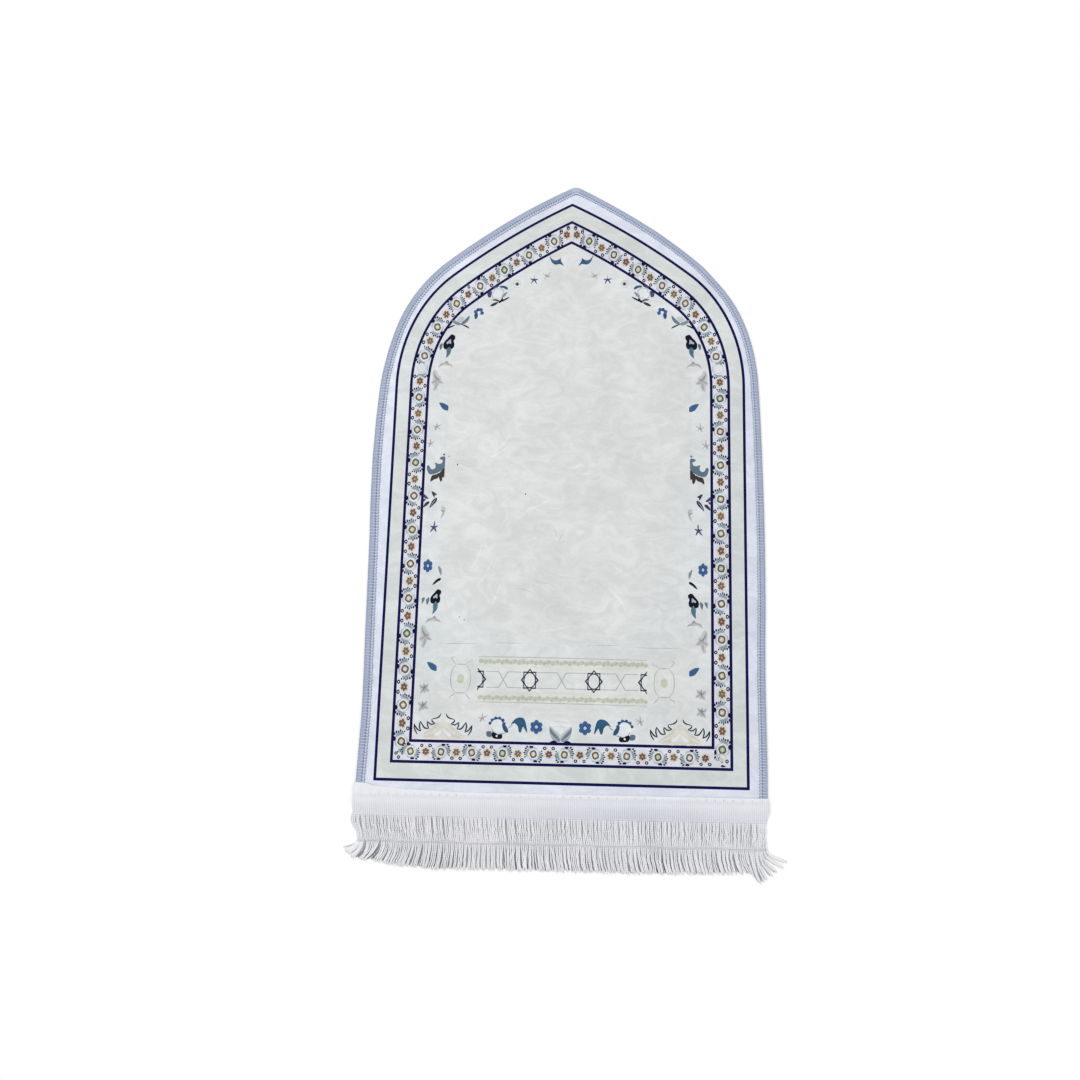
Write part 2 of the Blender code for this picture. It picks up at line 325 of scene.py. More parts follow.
def arch_half(distance, foot, steps=(SIDE_STEPS, LOWER_STEPS, UPPER_STEPS)):
    """The right half of the printed line moved inwards by a distance, unstretched, with its normals."""
    lower = np.array([LINE_HALF_WIDTH - LOWER_RADIUS, SPRING_HEIGHT])
    along = np.array([math.cos(LOWER_SWEEP), math.sin(LOWER_SWEEP)])
    upper = lower + (LOWER_RADIUS - UPPER_RADIUS) * along
    last = math.acos(-upper[0] / (UPPER_RADIUS - distance))
    side = np.linspace(foot / LENGTH_STRETCH, SPRING_HEIGHT, steps[0], endpoint=False)
    first_angles = np.linspace(0.0, LOWER_SWEEP, steps[1], endpoint=False)
    last_angles = np.linspace(LOWER_SWEEP, last, steps[2])
    angles = np.concatenate([np.zeros(len(side)), first_angles, last_angles])
    normals = spokes(angles)
    centres = np.repeat([lower, lower, upper], [len(side), len(first_angles), len(last_angles)], axis=0)
    radii = np.repeat([LOWER_RADIUS, LOWER_RADIUS, UPPER_RADIUS], steps)
    points = centres + normals * (radii - distance)[:, None]
    points[: len(side), 1] = side
    return points, normals


def closed_line(distance, bottom, grow):
    """A printed line's closed outline in real size, moved outwards from its middle by grow."""
    points, normals = arch_half(distance, bottom)
    lean = np.hypot(normals[:, 1], LENGTH_STRETCH * normals[:, 0]) / LENGTH_STRETCH
    points = (points + normals * (grow * lean)[:, None]) * (1.0, LENGTH_STRETCH)
    before, last = points[-2], points[-1]
    points[-1] = before + (last - before) * before[0] / (before[0] - last[0])
    points[0, 1] = bottom - grow
    outline = np.vstack([points, points[-2::-1] * (-1.0, 1.0)])
    outline[[0, -1], 1] += BOTTOM_SLOPE * outline[[0, -1], 0]
    return outline


def trim_line(y, x):
    return y + TRIM_SLOPE * x


def edge_half(side):
    """The cloth's edge on one side, from its foot to the point of the arch."""
    points, normals = arch_half(0.0, CLOTH_END)
    heights = column(EDGE_MARGIN, EDGE_COLUMNS, "height")
    margins = column(EDGE_MARGIN, EDGE_COLUMNS, side)
    reach = (points[:, 1] + normals[:, 1] * margins.mean()) * LENGTH_STRETCH
    edge = (points + normals * np.interp(reach, heights, margins)[:, None]) * (1.0, LENGTH_STRETCH)
    edge[:, 0] *= -1.0 if side == "left" else 1.0
    edge[0, 1] = trim_line(CLOTH_END, edge[0, 0])
    return edge


def rounded_point(left, right):
    """The arc at the point of the arch, tangent to the last stretch of both sides."""
    rise_left, rise_right = (unit(side[-1] - side[-2]) for side in (left, right))
    both = np.stack([rise_left, -rise_right], axis=1)
    corner = left[-1] + np.linalg.solve(both, right[-1] - left[-1])[0] * rise_left
    half_turn = math.acos(-rise_left @ rise_right) / 2.0
    inward = -unit(rise_left + rise_right)
    centre = corner + inward * POINT_RADIUS / math.cos(half_turn)
    middle = math.atan2(-inward[1], -inward[0])
    angles = np.linspace(middle + half_turn, middle - half_turn, POINT_STEPS)
    return centre + POINT_RADIUS * spokes(angles)


def edge_path():
    """The cloth's edge from the foot of its left side, over the arch, to the foot of its right side."""
    left = edge_half("left")
    right = edge_half("right")
    tip = rounded_point(left, right)
    room = POINT_RADIUS * 0.5
    left = left[np.hypot(*(left - tip[0]).T) > room]
    right = right[np.hypot(*(right - tip[-1]).T) > room]
    left = left[left[:, 0] < tip[0, 0]]
    right = right[right[:, 0] > tip[-1, 0]]
    return np.vstack([left, tip, right[::-1]])


def inwards(path):
    """Unit vectors that point from the edge into the cloth."""
    along = np.gradient(path, axis=0)
    along[0] = (0.0, 1.0)
    along[-1] = (0.0, -1.0)
    along = unit(along)
    return np.stack([along[:, 1], -along[:, 0]], axis=1)


def inset(path, distance):
    return path + inwards(path) * np.broadcast_to(distance, len(path))[:, None]


def binding_width(x):
    return BINDING_LEFT + (BINDING_RIGHT - BINDING_LEFT) * eased(x / BINDING_BLEND * 0.5 + 0.5)


def run_along(path):
    """The distance of each point of a path from its start."""
    return np.concatenate([[0.0], np.cumsum(np.hypot(*np.diff(path, axis=0).T))])


def walk(path, distances, values=None):
    """The points at these distances along a path, or what values gives for its points there."""
    steps = run_along(path)
    values = path if values is None else values
    return np.stack([np.interp(distances, steps, values[:, k]) for k in (0, 1)], axis=-1)


# ---------------------------------------------------------------- shapes, in mm round their origin

def turned(points, degrees):
    angle = math.radians(degrees)
    cos, sin = math.cos(angle), math.sin(angle)
    return np.asarray(points, float) @ np.array([[cos, sin], [-sin, cos]])


def moved(points, x, y, turn):
    return turned(points, turn) + (x, y)


def ellipse(wide, high, steps=14):
    return spokes(np.arange(steps) * 2.0 * math.pi / steps) * (wide / 2.0, high / 2.0)


def petals(count, outer, inner, start, steps=6):
    """A flower's outline: one round lobe for each petal."""
    turns = np.arange(count * steps) / steps
    angles = np.radians(start) + turns * 2.0 * math.pi / count
    lobe = np.abs(np.cos(turns * math.pi)) ** 0.45
    return spokes(angles) * (inner + (outer - inner) * lobe)[:, None]


def leaf(length, wide, steps):
    """A leaf along +y from its foot at the origin."""
    share = np.linspace(0.0, 1.0, steps)
    half = wide / 2.0 * np.sin(math.pi * share) ** 0.8
    right = np.stack([half, share * length], axis=1)
    return np.vstack([right, right[-2:0:-1] * (-1.0, 1.0)])


def smooth(points, closed, steps):
    """A Catmull-Rom curve through a few points."""
    points = np.asarray(points, float)
    if closed:
        ring = np.vstack([points[-1], points, points[:2]])
    else:
        ring = np.vstack([2 * points[0] - points[1], points, 2 * points[-1] - points[-2]])
    out = []
    for a, b, c, d in zip(ring, ring[1:], ring[2:], ring[3:]):
        for t in np.arange(steps) / steps:
            out.append(0.5 * (2 * b + (c - a) * t + (2 * a - 5 * b + 4 * c - d) * t * t
                              + (3 * b - 3 * c + d - a) * t ** 3))
    if not closed:
        out.append(points[-1])
    return np.array(out)


def stroke(points, wide, taper=0.25, steps=4):
    """A pen stroke through a few points, thinner at both ends."""
    path = smooth(points, closed=False, steps=steps) if len(points) > 2 else np.asarray(points, float)
    share = np.linspace(0.0, 1.0, len(path))
    half = wide / 2.0 * (taper + (1.0 - taper) * np.sin(math.pi * share) ** 0.6)
    along = unit(np.gradient(path, axis=0))
    across = np.stack([-along[:, 1], along[:, 0]], axis=1) * half[:, None]
    return np.vstack([path - across, (path + across)[::-1]])


def arc_band(radius, wide, start, stop, steps):
    """A crescent round the origin, from one angle to another in degrees."""
    angles = np.radians(np.linspace(start, stop, steps))
    return stroke(spokes(angles) * radius, wide, taper=0.1, steps=1)


def both_sides(parts):
    """Each part, followed by its mirror image."""
    return [
        (ink, wide, [(side * x, y) for x, y in points])
        for ink, wide, points in parts
        for side in (1, -1)
    ]


def drawn(parts):
    """Layers from charted parts: a pen stroke, a shape where wide is 0, or a dot at one point."""
    layers = []
    for ink, wide, points in parts:
        if len(points) == 1:
            shape = ellipse(wide, wide, 10) + points[0]
        elif wide:
            shape = stroke(points, wide)
        else:
            shape = smooth(points, closed=True, steps=3)
        layers.append((ink, shape))
    return layers


def placed(layers, x, y):
    return [(ink, shape + (x, y)) for ink, shape in layers]


def widened(layers, across):
    """Layers made wider by a factor, or mirrored by a factor of -1."""
    return [(ink, shape * (across, 1.0)) for ink, shape in layers]


def frame_of(points, wide):
    """A straight-sided outline's border: the grown shape, then the shrunk one that opens it."""
    centre = np.mean(points, axis=0)
    spread = points - centre
    share = wide / np.hypot(*spread.T)[:, None]
    return centre + spread * (1.0 + share), centre + spread * (1.0 - share)


def rounded_square(size, turn):
    """A square with round corners, a little lower than wide, as the medallions have at their centre."""
    corners = spokes(np.arange(16) * math.pi / 8.0)
    reach = size / 2.0 / np.sum(np.abs(corners) ** 3, axis=1) ** (1 / 3)
    return turned(corners * reach[:, None], turn) * (1.0, 0.9)


# ---------------------------------------------------------------- the border's motifs
# Each is charted unstretched in the strip's frame: +x outwards, +y along the border.

RING_INKS = (("olive", "cream"), ("taupe", "blush"), ("moss", "sage"), ("mauve", "cream"), ("taupe", "cream"))
FLOWER_INKS = ("rust", "tan", "brick", "rust", "tan")
TILTS = (28, 12, 40, 20)
SQUARES = (12.0, 6.8, 2.8)
WEDGE = ((12.8, 6.8), (10.4, 6.4), (8.9, 4.4), (9.4, 1.6), (11.0, 0.0), (12.8, 0.8))
# The crescent's dashes. Each row: angle in degrees, distance from the middle, length, width.
DASHES = (
    (36, 12.8, 5.2, 3.0),
    (50, 12.7, 4.8, 3.2),
    (64, 11.9, 3.8, 2.6),
    (77, 12.3, 4.6, 2.6),
    (91, 11.8, 3.2, 2.3),
    (106, 12.2, 3.8, 2.2),
)


def half_medallion():
    """The outer upper quarter: a wedge on the line, a crescent and its dashes."""
    layers = [
        ("crescent", arc_band(10.9, 3.6, 30, 116, steps=8)),
        ("halo", arc_band(10.2, 2.0, -44, 34, steps=6)),
        ("wedge", np.array(WEDGE)),
    ]
    for angle, reach, long, wide in DASHES:
        x, y = reach * math.cos(math.radians(angle)), reach * math.sin(math.radians(angle))
        layers.append(("dash", moved(leaf(long, wide, steps=4), x, y, angle - 62)))
    return layers


def medallion(number, mirrored):
    """Its outer upper quarter repeats opposite, and every second one is mirrored across the strip."""
    ring, middle = RING_INKS[number * 7 % len(RING_INKS)]
    tilt = TILTS[number * 3 % len(TILTS)]
    layers = []
    for ink, shape in half_medallion():
        layers += [(ink, shape), (ink, -shape)]
    if mirrored:
        layers = widened(layers, -1.0)
        tilt = -tilt
    layers += [("halo", ellipse(18.6, 18.6)), ("disc", ellipse(17.0, 17.0))]
    squares = zip((ring, middle, "core"), SQUARES)
    return layers + [(ink, rounded_square(size, tilt)) for ink, size in squares]


def bare_disc():
    layers = [(ink, -shape) for ink, shape in half_medallion() if ink != "wedge"]
    return layers + [("halo", ellipse(16.0, 15.0)), ("disc", ellipse(14.6, 13.6))]


def small_ring(number):
    squash = (1.0, 0.86, 0.94)[number % 3]
    return [("small", ellipse(5.6, 6.3 * squash, 10)), ("smallmid", ellipse(2.0, 2.3 * squash, 8))]


def star_flower(number, side):
    """A star with two small rings beside it. side is 1 outwards, -1 inwards and 0 for one of each."""
    ink = FLOWER_INKS[number * 3 % len(FLOWER_INKS)]
    count = (6, 5, 6)[number % 3]
    layers = [
        ("ember", ellipse(16.0, 16.0)),
        (ink, petals(count, 5.8, 3.7, start=80 + 17 * number)),
        ("peach", ellipse(2.6, 2.6, 8)),
    ]
    for k, y in enumerate((6.7, -6.7)):
        x = 9.4 * (side or (1, -1)[k])
        layers += placed(small_ring(number + k), x, y)
    return layers


def border_motif(phase, number):
    """Stars at even phases and medallions at odd ones, which face outwards and inwards in turn."""
    if phase % 2:
        return medallion(number, mirrored=phase % 4 == 1)
    return star_flower(number, side=-1 if phase % 4 else 1)


def border_path():
    points, _ = arch_half(BORDER_DISTANCE, LINES[1][1], (60, 60, 60))
    return points[::-1]


def along_border(layers, path, distance, flip):
    """Puts strip motifs on the arch, +y towards its point, and stretches them with it."""
    place = walk(path, distance)
    up = unit(walk(path, distance - 2.0) - walk(path, distance + 2.0))
    out = np.array([up[1], -up[0]])
    stretch = (-1.0 if flip else 1.0, LENGTH_STRETCH)
    return [(ink, (place + shape[:, :1] * out + shape[:, 1:] * up) * stretch) for ink, shape in layers]


def side_border():
    """The border over the arch and down both sides: odd places hold medallions, even ones stars.

    Where the arch's run meets the side's run, a bare disc fills the gap and a mixed star follows.
    """
    path = border_path()
    layers = []
    for flip, first in ((False, 0), (True, 11)):
        for k in range(ARCH_UNITS):
            motif = border_motif(k, k + first)
            layers += along_border(motif, path, ARCH_START + ARCH_PITCH * k, flip)
        layers += along_border(bare_disc(), path, JOIN_AT, flip)
        for k in range(SIDE_UNITS):
            motif = border_motif(k + 2, k + first) if k else star_flower(first, side=0)
            layers += along_border(motif, path, SIDE_START + SIDE_PITCH * k, flip)
    return layers


# Small rings at the point of the arch and in the lower corners.
SPARE_RINGS = (
    (-18.7, 942.6), (18.7, 942.6), (-6.4, 949.9), (6.4, 949.9), (-262.8, 40.8), (-258.4, 34.6), (262.4, 41.6),
)
# The row is too short for a last medallion, so its right end is filled by a small blurred disc.
CORNER_PLACE = (253.6, 45.0)
CORNER_DISC = (
    ("halo", 15.6, ((-0.4, 1.2),)),
    ("disc", 13.6, ((0, 0),)),
    ("cream", 6.0, ((0.6, -0.4),)),
    ("steel", 2.2, ((-1.6, 4.4), (-4.4, 0.6), (-3.2, -3.4))),
    ("olive", 1.3, ((-1.8, -3.8), (0.8, -5), (3.4, -3))),
    ("wedge", 0, ((0, -9.2), (3.4, -9.4), (6.6, -11.6), (3, -12.4), (-0.6, -11.8))),
)


def bottom_border():
    """The row along the foot: medallions with a star between each pair, +y outwards (down)."""
    layers = []
    for k in range(2 * ROW_UNITS):
        x = ROW_START + ROW_PITCH / 2.0 * k
        for ink, shape in border_motif(3 - k, k + 5):
            points = np.stack([shape[:, 1], -shape[:, 0]], axis=1)
            layers.append((ink, points + (x, ROW_HEIGHT + BOTTOM_SLOPE * x)))
    layers += placed(drawn(CORNER_DISC), *CORNER_PLACE)
    for number, place in enumerate(SPARE_RINGS):
        layers += placed(small_ring(number), *place)
    return layers


# ---------------------------------------------------------------- the field's motifs
# Charted upright as they stand on the left side. The right side mirrors them.
# Each row is a part for drawn(): ink, width of the stroke, points.

CURLED_LEAF = (
    ("darkteal", 0, ((-11, 9), (-7, 3), (-1, 1), (4, 3), (6, 5), (6.5, 0), (11, -8), (5, -5), (-2, -6),
                     (-8, -1))),
    ("slate", 1.0, ((-9, 5), (-4, -1), (3, -2.5))),
)
SPRIG = (
    ("faded", 3.2, ((-7, 4), (0, 0.5), (7, -1))),
    ("faded", 3.2, ((-4, -6), (0, 0), (6, 6))),
    ("shadow", 1.8, ((-3, 1), (0.5, 0), (3, -3))),
)
RINGED_DOT = (
    ("faded", 12.8, ((0, 0),)),
    ("gleam", 10.4, ((0, 0),)),
    ("steel", 6.4, ((0, 0),)),
    ("frame", 3.8, ((0.3, -0.3),)),
)
BLOSSOM = (
    ("lilac", 0, ((-8.6, -5.4), (-10, 2), (-7.4, 4), (-6, 9), (-1, 9), (2.4, 11), (6, 8), (9, 3.6), (6.4, -1),
                  (6, -6), (1, -6.4), (-3, -7.4))),
    ("pale", 0, ((-7.6, -4.6), (-8.8, 1.6), (-6.4, 3.6), (-5, 8), (-0.8, 8), (2.2, 9.8), (5, 7), (7.6, 3.4),
                 (5.2, -1), (5, -5), (1, -5.4), (-3, -6.4))),
    ("violet", 0, ((1, 13), (-3, 14), (-8, 11.4), (-5, 9.6))),
    ("violet", 0, ((-10, 4.6), (-13.6, 4), (-16.6, 1), (-15.6, -4), (-11.8, -5.2), (-10.4, -1))),
    ("darkteal", 0, ((14, 7.6), (13.4, 11), (10, 13.4), (5, 14), (1.6, 13), (3.4, 10.8), (8, 10), (11, 8))),
    ("steel", 0, ((14, 3.4), (10.4, 2.6), (6.8, -1.4), (5.4, -5.4), (10, -3.4))),
    ("ink", 2.6, ((17, -4.6), (10.6, -8.4), (3.6, -12.6))),
    ("ink", 2.6, ((3.6, -12.6), (-2, -9.6), (-9, -9))),
    ("ink", 0, ((7, -5.4), (4.6, -8), (0.6, -13.6), (3.8, -13.6), (7.4, -9.6))),
    ("umber", 0, ((0.6, -13), (-4, -13), (-9, -15.6), (-12, -19), (-8, -19.4), (-3, -17))),
)
OPEN_FLOWER = (
    ("blue", 6.2, ((4.2, 0.2),)),
    ("blue", 6.0, ((2.6, 5.4),)),
    ("deepblue", 5.6, ((-1.6, 5.6),)),
    ("blue", 6.0, ((-5.2, 2.2),)),
    ("deepblue", 0, ((-2.4, 0), (-6.6, -0.6), (-7.4, -4), (-5.6, -9.6), (-2.6, -7.6), (-1.8, -3.6))),
    ("pale", 4.4, ((-0.2, 0.8),)),
)
WINGED_LEAF = (
    ("silver", 0, ((-6, 3), (-3, 7), (3, 7.4), (5, 4), (1, -1), (-4, -1))),
    ("slate", 0, ((12.5, 9), (7.5, 4.5), (4.6, 1.4), (1.2, -1.6), (0, -6), (5, -4.4), (9.4, -0.6), (12, 4))),
    ("steel", 0, ((-14, 1.4), (-8.6, 1), (-4, -1.4), (-0.4, -3), (-0.6, -6.2), (-6, -6), (-11, -3.4))),
    ("shadow", 1.3, ((10, 4), (4, -2.4), (-4, -4), (-11, -1))),
    ("ink", 2.4, ((13, -11.4), (8, -8), (2, -5.8))),
    ("ink", 2.4, ((-9, -6.4), (-15, -8.6), (-20, -12))),
)
TULIP = (
    ("ink", 0, ((4, 12), (8.6, 9.5), (8.6, 5), (6.6, 1.5), (8, -3), (7, -9), (3, -11.5), (0.4, -8.6),
                (-2.4, -12), (-7.5, -10.5), (-8.8, -4), (-6.4, 1.5), (-2, 6.5), (1, 10.5))),
    ("lilac", 0, ((2.4, 4.4), (2.8, 0.4), (3, -3.2), (0.2, -2), (-3, -3.4), (-4, -0.8), (-1.2, 1.6))),
)
CURVED_LEAF = (
    ("teal", 0, ((-2.5, 8), (2, 9.5), (4, 5), (3.5, -1), (0.5, -6), (-4, -10), (-3.5, -3), (-4, 3))),
    ("slate", 0.9, ((1, 7), (0.5, 0), (-2.5, -7))),
)
SMALL_LEAF = (
    ("slate", 0, ((2, 6), (2.6, 0), (-1, -7), (-2.8, 0.5), (-1, 4))),
)
SOFT_SPRAY = (
    ("faded", 0, ((12, -6), (9, -1), (5, 1), (1, 6), (-3, 3), (-8, 1.6), (-12, -1), (-14, -8), (-9, -4),
                  (-4, -3), (1, -4), (6, -3))),
    ("feather", 3.0, ((10, -3.6), (4, -1), (0, 2), (-4, 0))),
    ("feather", 2.6, ((-2, 0.6), (-8, -1), (-12, -5))),
    ("shadow", 1.4, ((3, 2), (0, 4), (-2, 1))),
)
LARGE_SPRAY = (
    ("faded", 0, ((-10, 16), (-5, 15), (-2, 8), (3, 4), (3, -1), (8, -8), (2, -8), (-1, -12), (-5, -21),
                  (-10, -19), (-9, -12), (-14, -7), (-11, -1), (-12, 8))),
    ("feather", 4.2, ((-10, 13), (-7, 4), (-2, 0), (2, 1))),
    ("feather", 3.6, ((-12, -7), (-7, -4), (-2, 0))),
    ("feather", 3.0, ((6, -7.6), (1, -5), (-4, -2))),
    ("feather", 2.6, ((-7, -19), (-4, -12), (-4, -5))),
    ("shadow", 1.6, ((-8, 8), (-5, 1), (0, -1))),
    ("shadow", 1.3, ((-6, -14), (-5, -6))),
)
LENS_LEAF = (
    ("blue", 0, ((-8.4, 6.8), (-4, 7), (0, 6), (4, 3.8), (7.6, 1.2), (7.8, -2.5), (7.6, -6.8), (3, -6.6),
                 (-2, -4), (-6, 1.5))),
    ("darkteal", 1.0, ((-6, 5), (0, 0.5), (6, -4))),
)
THIN_STAR = (
    ("faded", 3.2, ((0.5, 8), (0, 0), (-2, -6))),
    ("faded", 3.0, ((-6, 2), (0, 0), (7, 4))),
    ("feather", 1.5, ((0.5, 10), (0, 0), (-2, -6))),
    ("feather", 1.6, ((-6, 2), (0, 0), (8, 5))),
    ("feather", 1.5, ((-4, -6), (0, 0), (6, -5))),
    ("shadow", 2.4, ((0, 0),)),
)
FEATHER_STAR = (
    ("faded", 0, ((-8, 6), (0, 5), (7, 8), (6, 1), (9, -5), (1, -6), (-6, -9), (-6, -2))),
    ("feather", 2.8, ((-1, 8), (0, 0), (-6, -8))),
    ("feather", 2.8, ((-8, 3), (0, 0), (8, -5))),
    ("feather", 2.6, ((7, 6), (0, 0), (1, -8))),
    ("shadow", 2.2, ((-4, 1.5), (0, 0.5), (5, 3.5))),
    ("shadow", 2.2, ((-0.5, 5), (0, 0), (-3.5, -4))),
)
SCROLL_LEAF = (
    ("slate", 0, ((-15, -1), (-14.6, -8), (-10.5, -15), (-4, -15.5), (3, -13), (10, -8.5), (15, -3.5),
                  (15.4, 6), (15.2, 15), (10, 15.6), (6, 13.5), (7, 11), (11, 9.4), (10.5, 5), (8, 3.4),
                  (4, 3), (-2, 5), (-0.4, 0), (-1.2, -4.4), (-4, -6.6), (-8, -6), (-10, -2.5), (-12, 0))),
    ("slate", 3.8, ((13.2, 19.4),)),
    ("umber", 0, ((-8, -28.5), (-7, -20), (-4, -16.6), (1, -15.6), (5.6, -13), (6, -18), (3, -23),
                  (-2, -24.5))),
    ("umber", 0, ((9, -28), (5.6, -19), (6.6, -12.6), (10, -9), (14.8, -3.8), (15.4, -12), (14.8, -21),
                  (12.4, -20), (11.6, -26))),
)
LINE_LEAVES = (
    ("violet", 0, ((-4.5, 11.5), (0, 8), (4.2, 3.4), (-0.7, 3.2), (-4.5, 6))),
    ("plum", 0, ((-4.3, 2), (-0.7, 3), (-2.1, -0.8), (-4.5, -1))),
    ("plum", 0, ((5.4, -1.7), (5, -5), (0, -9.6), (-4.5, -11.5), (-2.3, -5.5), (1.4, -1.9))),
)
FREE_LEAVES = (
    ("plum", 0, ((-4, 13.4), (1.4, 11.6), (5.8, 8), (2.6, 7), (1.6, 2.6), (-1.4, 6.8))),
    ("plum", 0, ((5.8, 2.6), (5.4, -4), (0, -10), (-6, -15.4), (-4.2, -7.8), (-0.4, -0.8))),
    ("lilac", 0.9, ((4, 0), (-0.6, -6), (-4.4, -12.4))),
)
SOFT_HOOK = (
    ("faded", 0, ((-3, 9), (3, 10), (5, 3), (3, -5), (-2, -11), (-1, -4), (0, 2))),
    ("shadow", 2.0, ((-3, 4), (1.8, 1), (1.4, -5))),
    ("feather", 1.8, ((2.6, 9), (3.2, 3), (1, -4), (-2, -9))),
)
SLATE_STAR = (
    ("violet", 2.2, ((1, 11), (0.5, 5), (0, 0))),
    ("violet", 3.2, ((-6.2, 2.4), (0, 0.5), (6.4, 2.8))),
    ("violet", 3.2, ((-6, -7.8), (0, 0), (1, 2))),
    ("violet", 3.2, ((4.4, -7.8), (0.5, 0), (-1, 2))),
    ("violet", 6.2, ((0, 0),)),
)
GREY_LEAF = (
    ("steel", 0, ((-3.4, 8), (0, 6), (3, 1), (2.4, -8), (0, -4), (-1.8, 0))),
)
THORN = (
    ("ink", 0, ((-7, -6), (-3.4, 0), (1.6, 4.6), (6.6, 6), (6.4, 2.4), (1.6, -0.6), (-3, -4.4))),
)
LEAF_PAIR = (
    ("greenleaf", 0, ((-6.5, 4.5), (-1.8, 5), (-3, 0), (-6.5, -5), (-6.7, 0))),
    ("greenleaf", 0, ((5, 6), (5.6, 0), (2, -7), (0.2, 0.5), (2, 4))),
)
PLAIN_STAR = (
    ("violet", 2.2, ((0.4, 7), (0, 0))),
    ("violet", 2.4, ((-6.4, 1.6), (0, 0), (6, 0.8))),
    ("violet", 2.4, ((-4.6, -6.4), (0, 0), (3.8, -7))),
    ("violet", 4.2, ((0, 0),)),
)
BUD_FLOWER = (
    ("pale", 0, ((-9.4, 3), (-5, 9.4), (4, 10.4), (10.4, 4.4), (11, -4), (1, -10), (-7, -6))),
    ("deepblue", 2.8, ((-10.6, 3.6), (-6.6, 10), (1, 12.6), (8.4, 10.4), (11.6, 3))),
    ("deepblue", 5.0, ((-10.8, 4.6),)),
    ("blue", 5.0, ((-7.6, 10),)),
    ("deepblue", 5.2, ((-1.8, 13),)),
    ("blue", 5.4, ((4.6, 13),)),
    ("deepblue", 5.6, ((9.8, 9.6),)),
    ("deepblue", 4.6, ((12.2, 4.4),)),
    ("deepblue", 0, ((9, 5), (14, 2.6), (19, -6), (18, -9.6), (13, -8), (9.6, -2))),
    ("steel", 1.7, ((17, -9.5), (8, -11.5), (2, -13), (-4, -10), (-8, -3))),
    ("slate", 0, ((-16, -9), (-9, -8), (-7, -12), (-8, -17), (-15, -16))),
    ("umber", 0.8, ((-15, -11.5), (-8, -12))),
    ("umber", 0.8, ((-15, -14), (-8, -14.5))),
    ("ink", 0, ((-7, -10), (-2, -10), (3, -13), (9, -12.5), (9, -19), (1, -20), (-6, -18))),
    ("pale", 3.4, ((0.6, -15.2),)),
    ("steel", 1.4, ((18, -3), (22, 0), (26, 3))),
)
BIRD_LEAF = (
    ("darkteal", 0, ((-15, 0.5), (-9, 9), (-1.5, 12.4), (5.4, 11), (9, 4), (12, -11.5), (7.6, -6),
                     (4.6, -2.5), (1.6, -11), (-1.8, -10), (-3.6, -2), (-9, 3))),
    ("blue", 1.4, ((-6, 7), (1, 7), (6.4, -3))),
)
ZIGZAG = (
    ("frame", 2.3, ((-4.5, 0), (-6, -4), (-10, -7), (-18.5, -9))),
    ("frame", 2.3, ((-18.5, -9), (-17.5, -13), (-12.3, -16))),
    ("frame", 2.3, ((-12.3, -16), (-19.5, -17.5), (-25.5, -12.7))),
    ("frame", 2.3, ((-25.5, -12.7), (-25, -19), (-22.5, -24))),
    ("frame", 2.5, ((-22.5, -24), (-30, -23), (-37, -12.7))),
    ("frame", 2.5, ((-37, -12.7), (-38, -21), (-35.5, -29))),
    ("frame", 2.5, ((-35.5, -29), (-42, -25), (-47, -17))),
    ("frame", 2.3, ((-47, -17), (-45.5, -26), (-40.6, -34))),
)
ZIGZAG_TINT = (
    ("sandlight", 0, ((0, -8), (-8, -18), (-22, -28), (-36, -38), (0, -38.6))),
    ("sand", 4.0, ((-7, -14), (-16, -24), (-32, -34))),
    ("sand", 5.0, ((-6, -31), (-16, -34.6), (-30, -37.4))),
    ("pale", 5.0, ((0, -24), (-8, -32), (-14, -34))),
)
LOTUS = (
    ("gleam", 0, ((-17, 2), (-16, 10), (-10, 16), (0, 18), (10, 16), (16, 10), (17, 2), (10, -8), (-10, -8))),
    ("dull", 2.4, ((-14, 9), (-5, 12), (6, 11), (13, 9))),
    ("pale", 2.4, ((-14, 5), (-4, 7), (6, 7), (14, 5))),
    ("dull", 2.0, ((-15, 3), (-5, 4), (6, 3), (15, 2))),
    *both_sides((
        ("silver", 0, ((-17.5, 5), (-12, 1), (-6, -4), (0, -10), (0, -19.5), (-7, -19.5), (-14, -14),
                       (-17.5, -5))),
        ("steel", 0, ((-17.5, 3), (-13, -2), (-7, -8), (-1, -15), (-1.5, -19.5), (-8, -19.5), (-14, -14),
                      (-17.5, -5))),
        ("slate", 1.6, ((-17, -1), (-11, -9), (-3, -17))),
        ("silver", 1.6, ((-16, -8), (-11, -14), (-5, -18))),
        ("navy", 0, ((-17, -21), (-11, -18), (-5, -21), (-11, -22))),
    )),
)
LOTUS_HEIGHT = 85.0


def blue_flower(across):
    """Six round petals round a pale eye."""
    places = 7.0 * spokes(np.radians(90 + 60 * np.arange(6)))
    flower = [("blue", ellipse(8.4, 8.4, 12) + place) for place in places]
    flower += [("blue", ellipse(13.0, 13.0)), ("deepblue", ellipse(9.4, 9.4))]
    return widened(flower + [("skyblue", ellipse(5.4, 5.4, 10))], across)


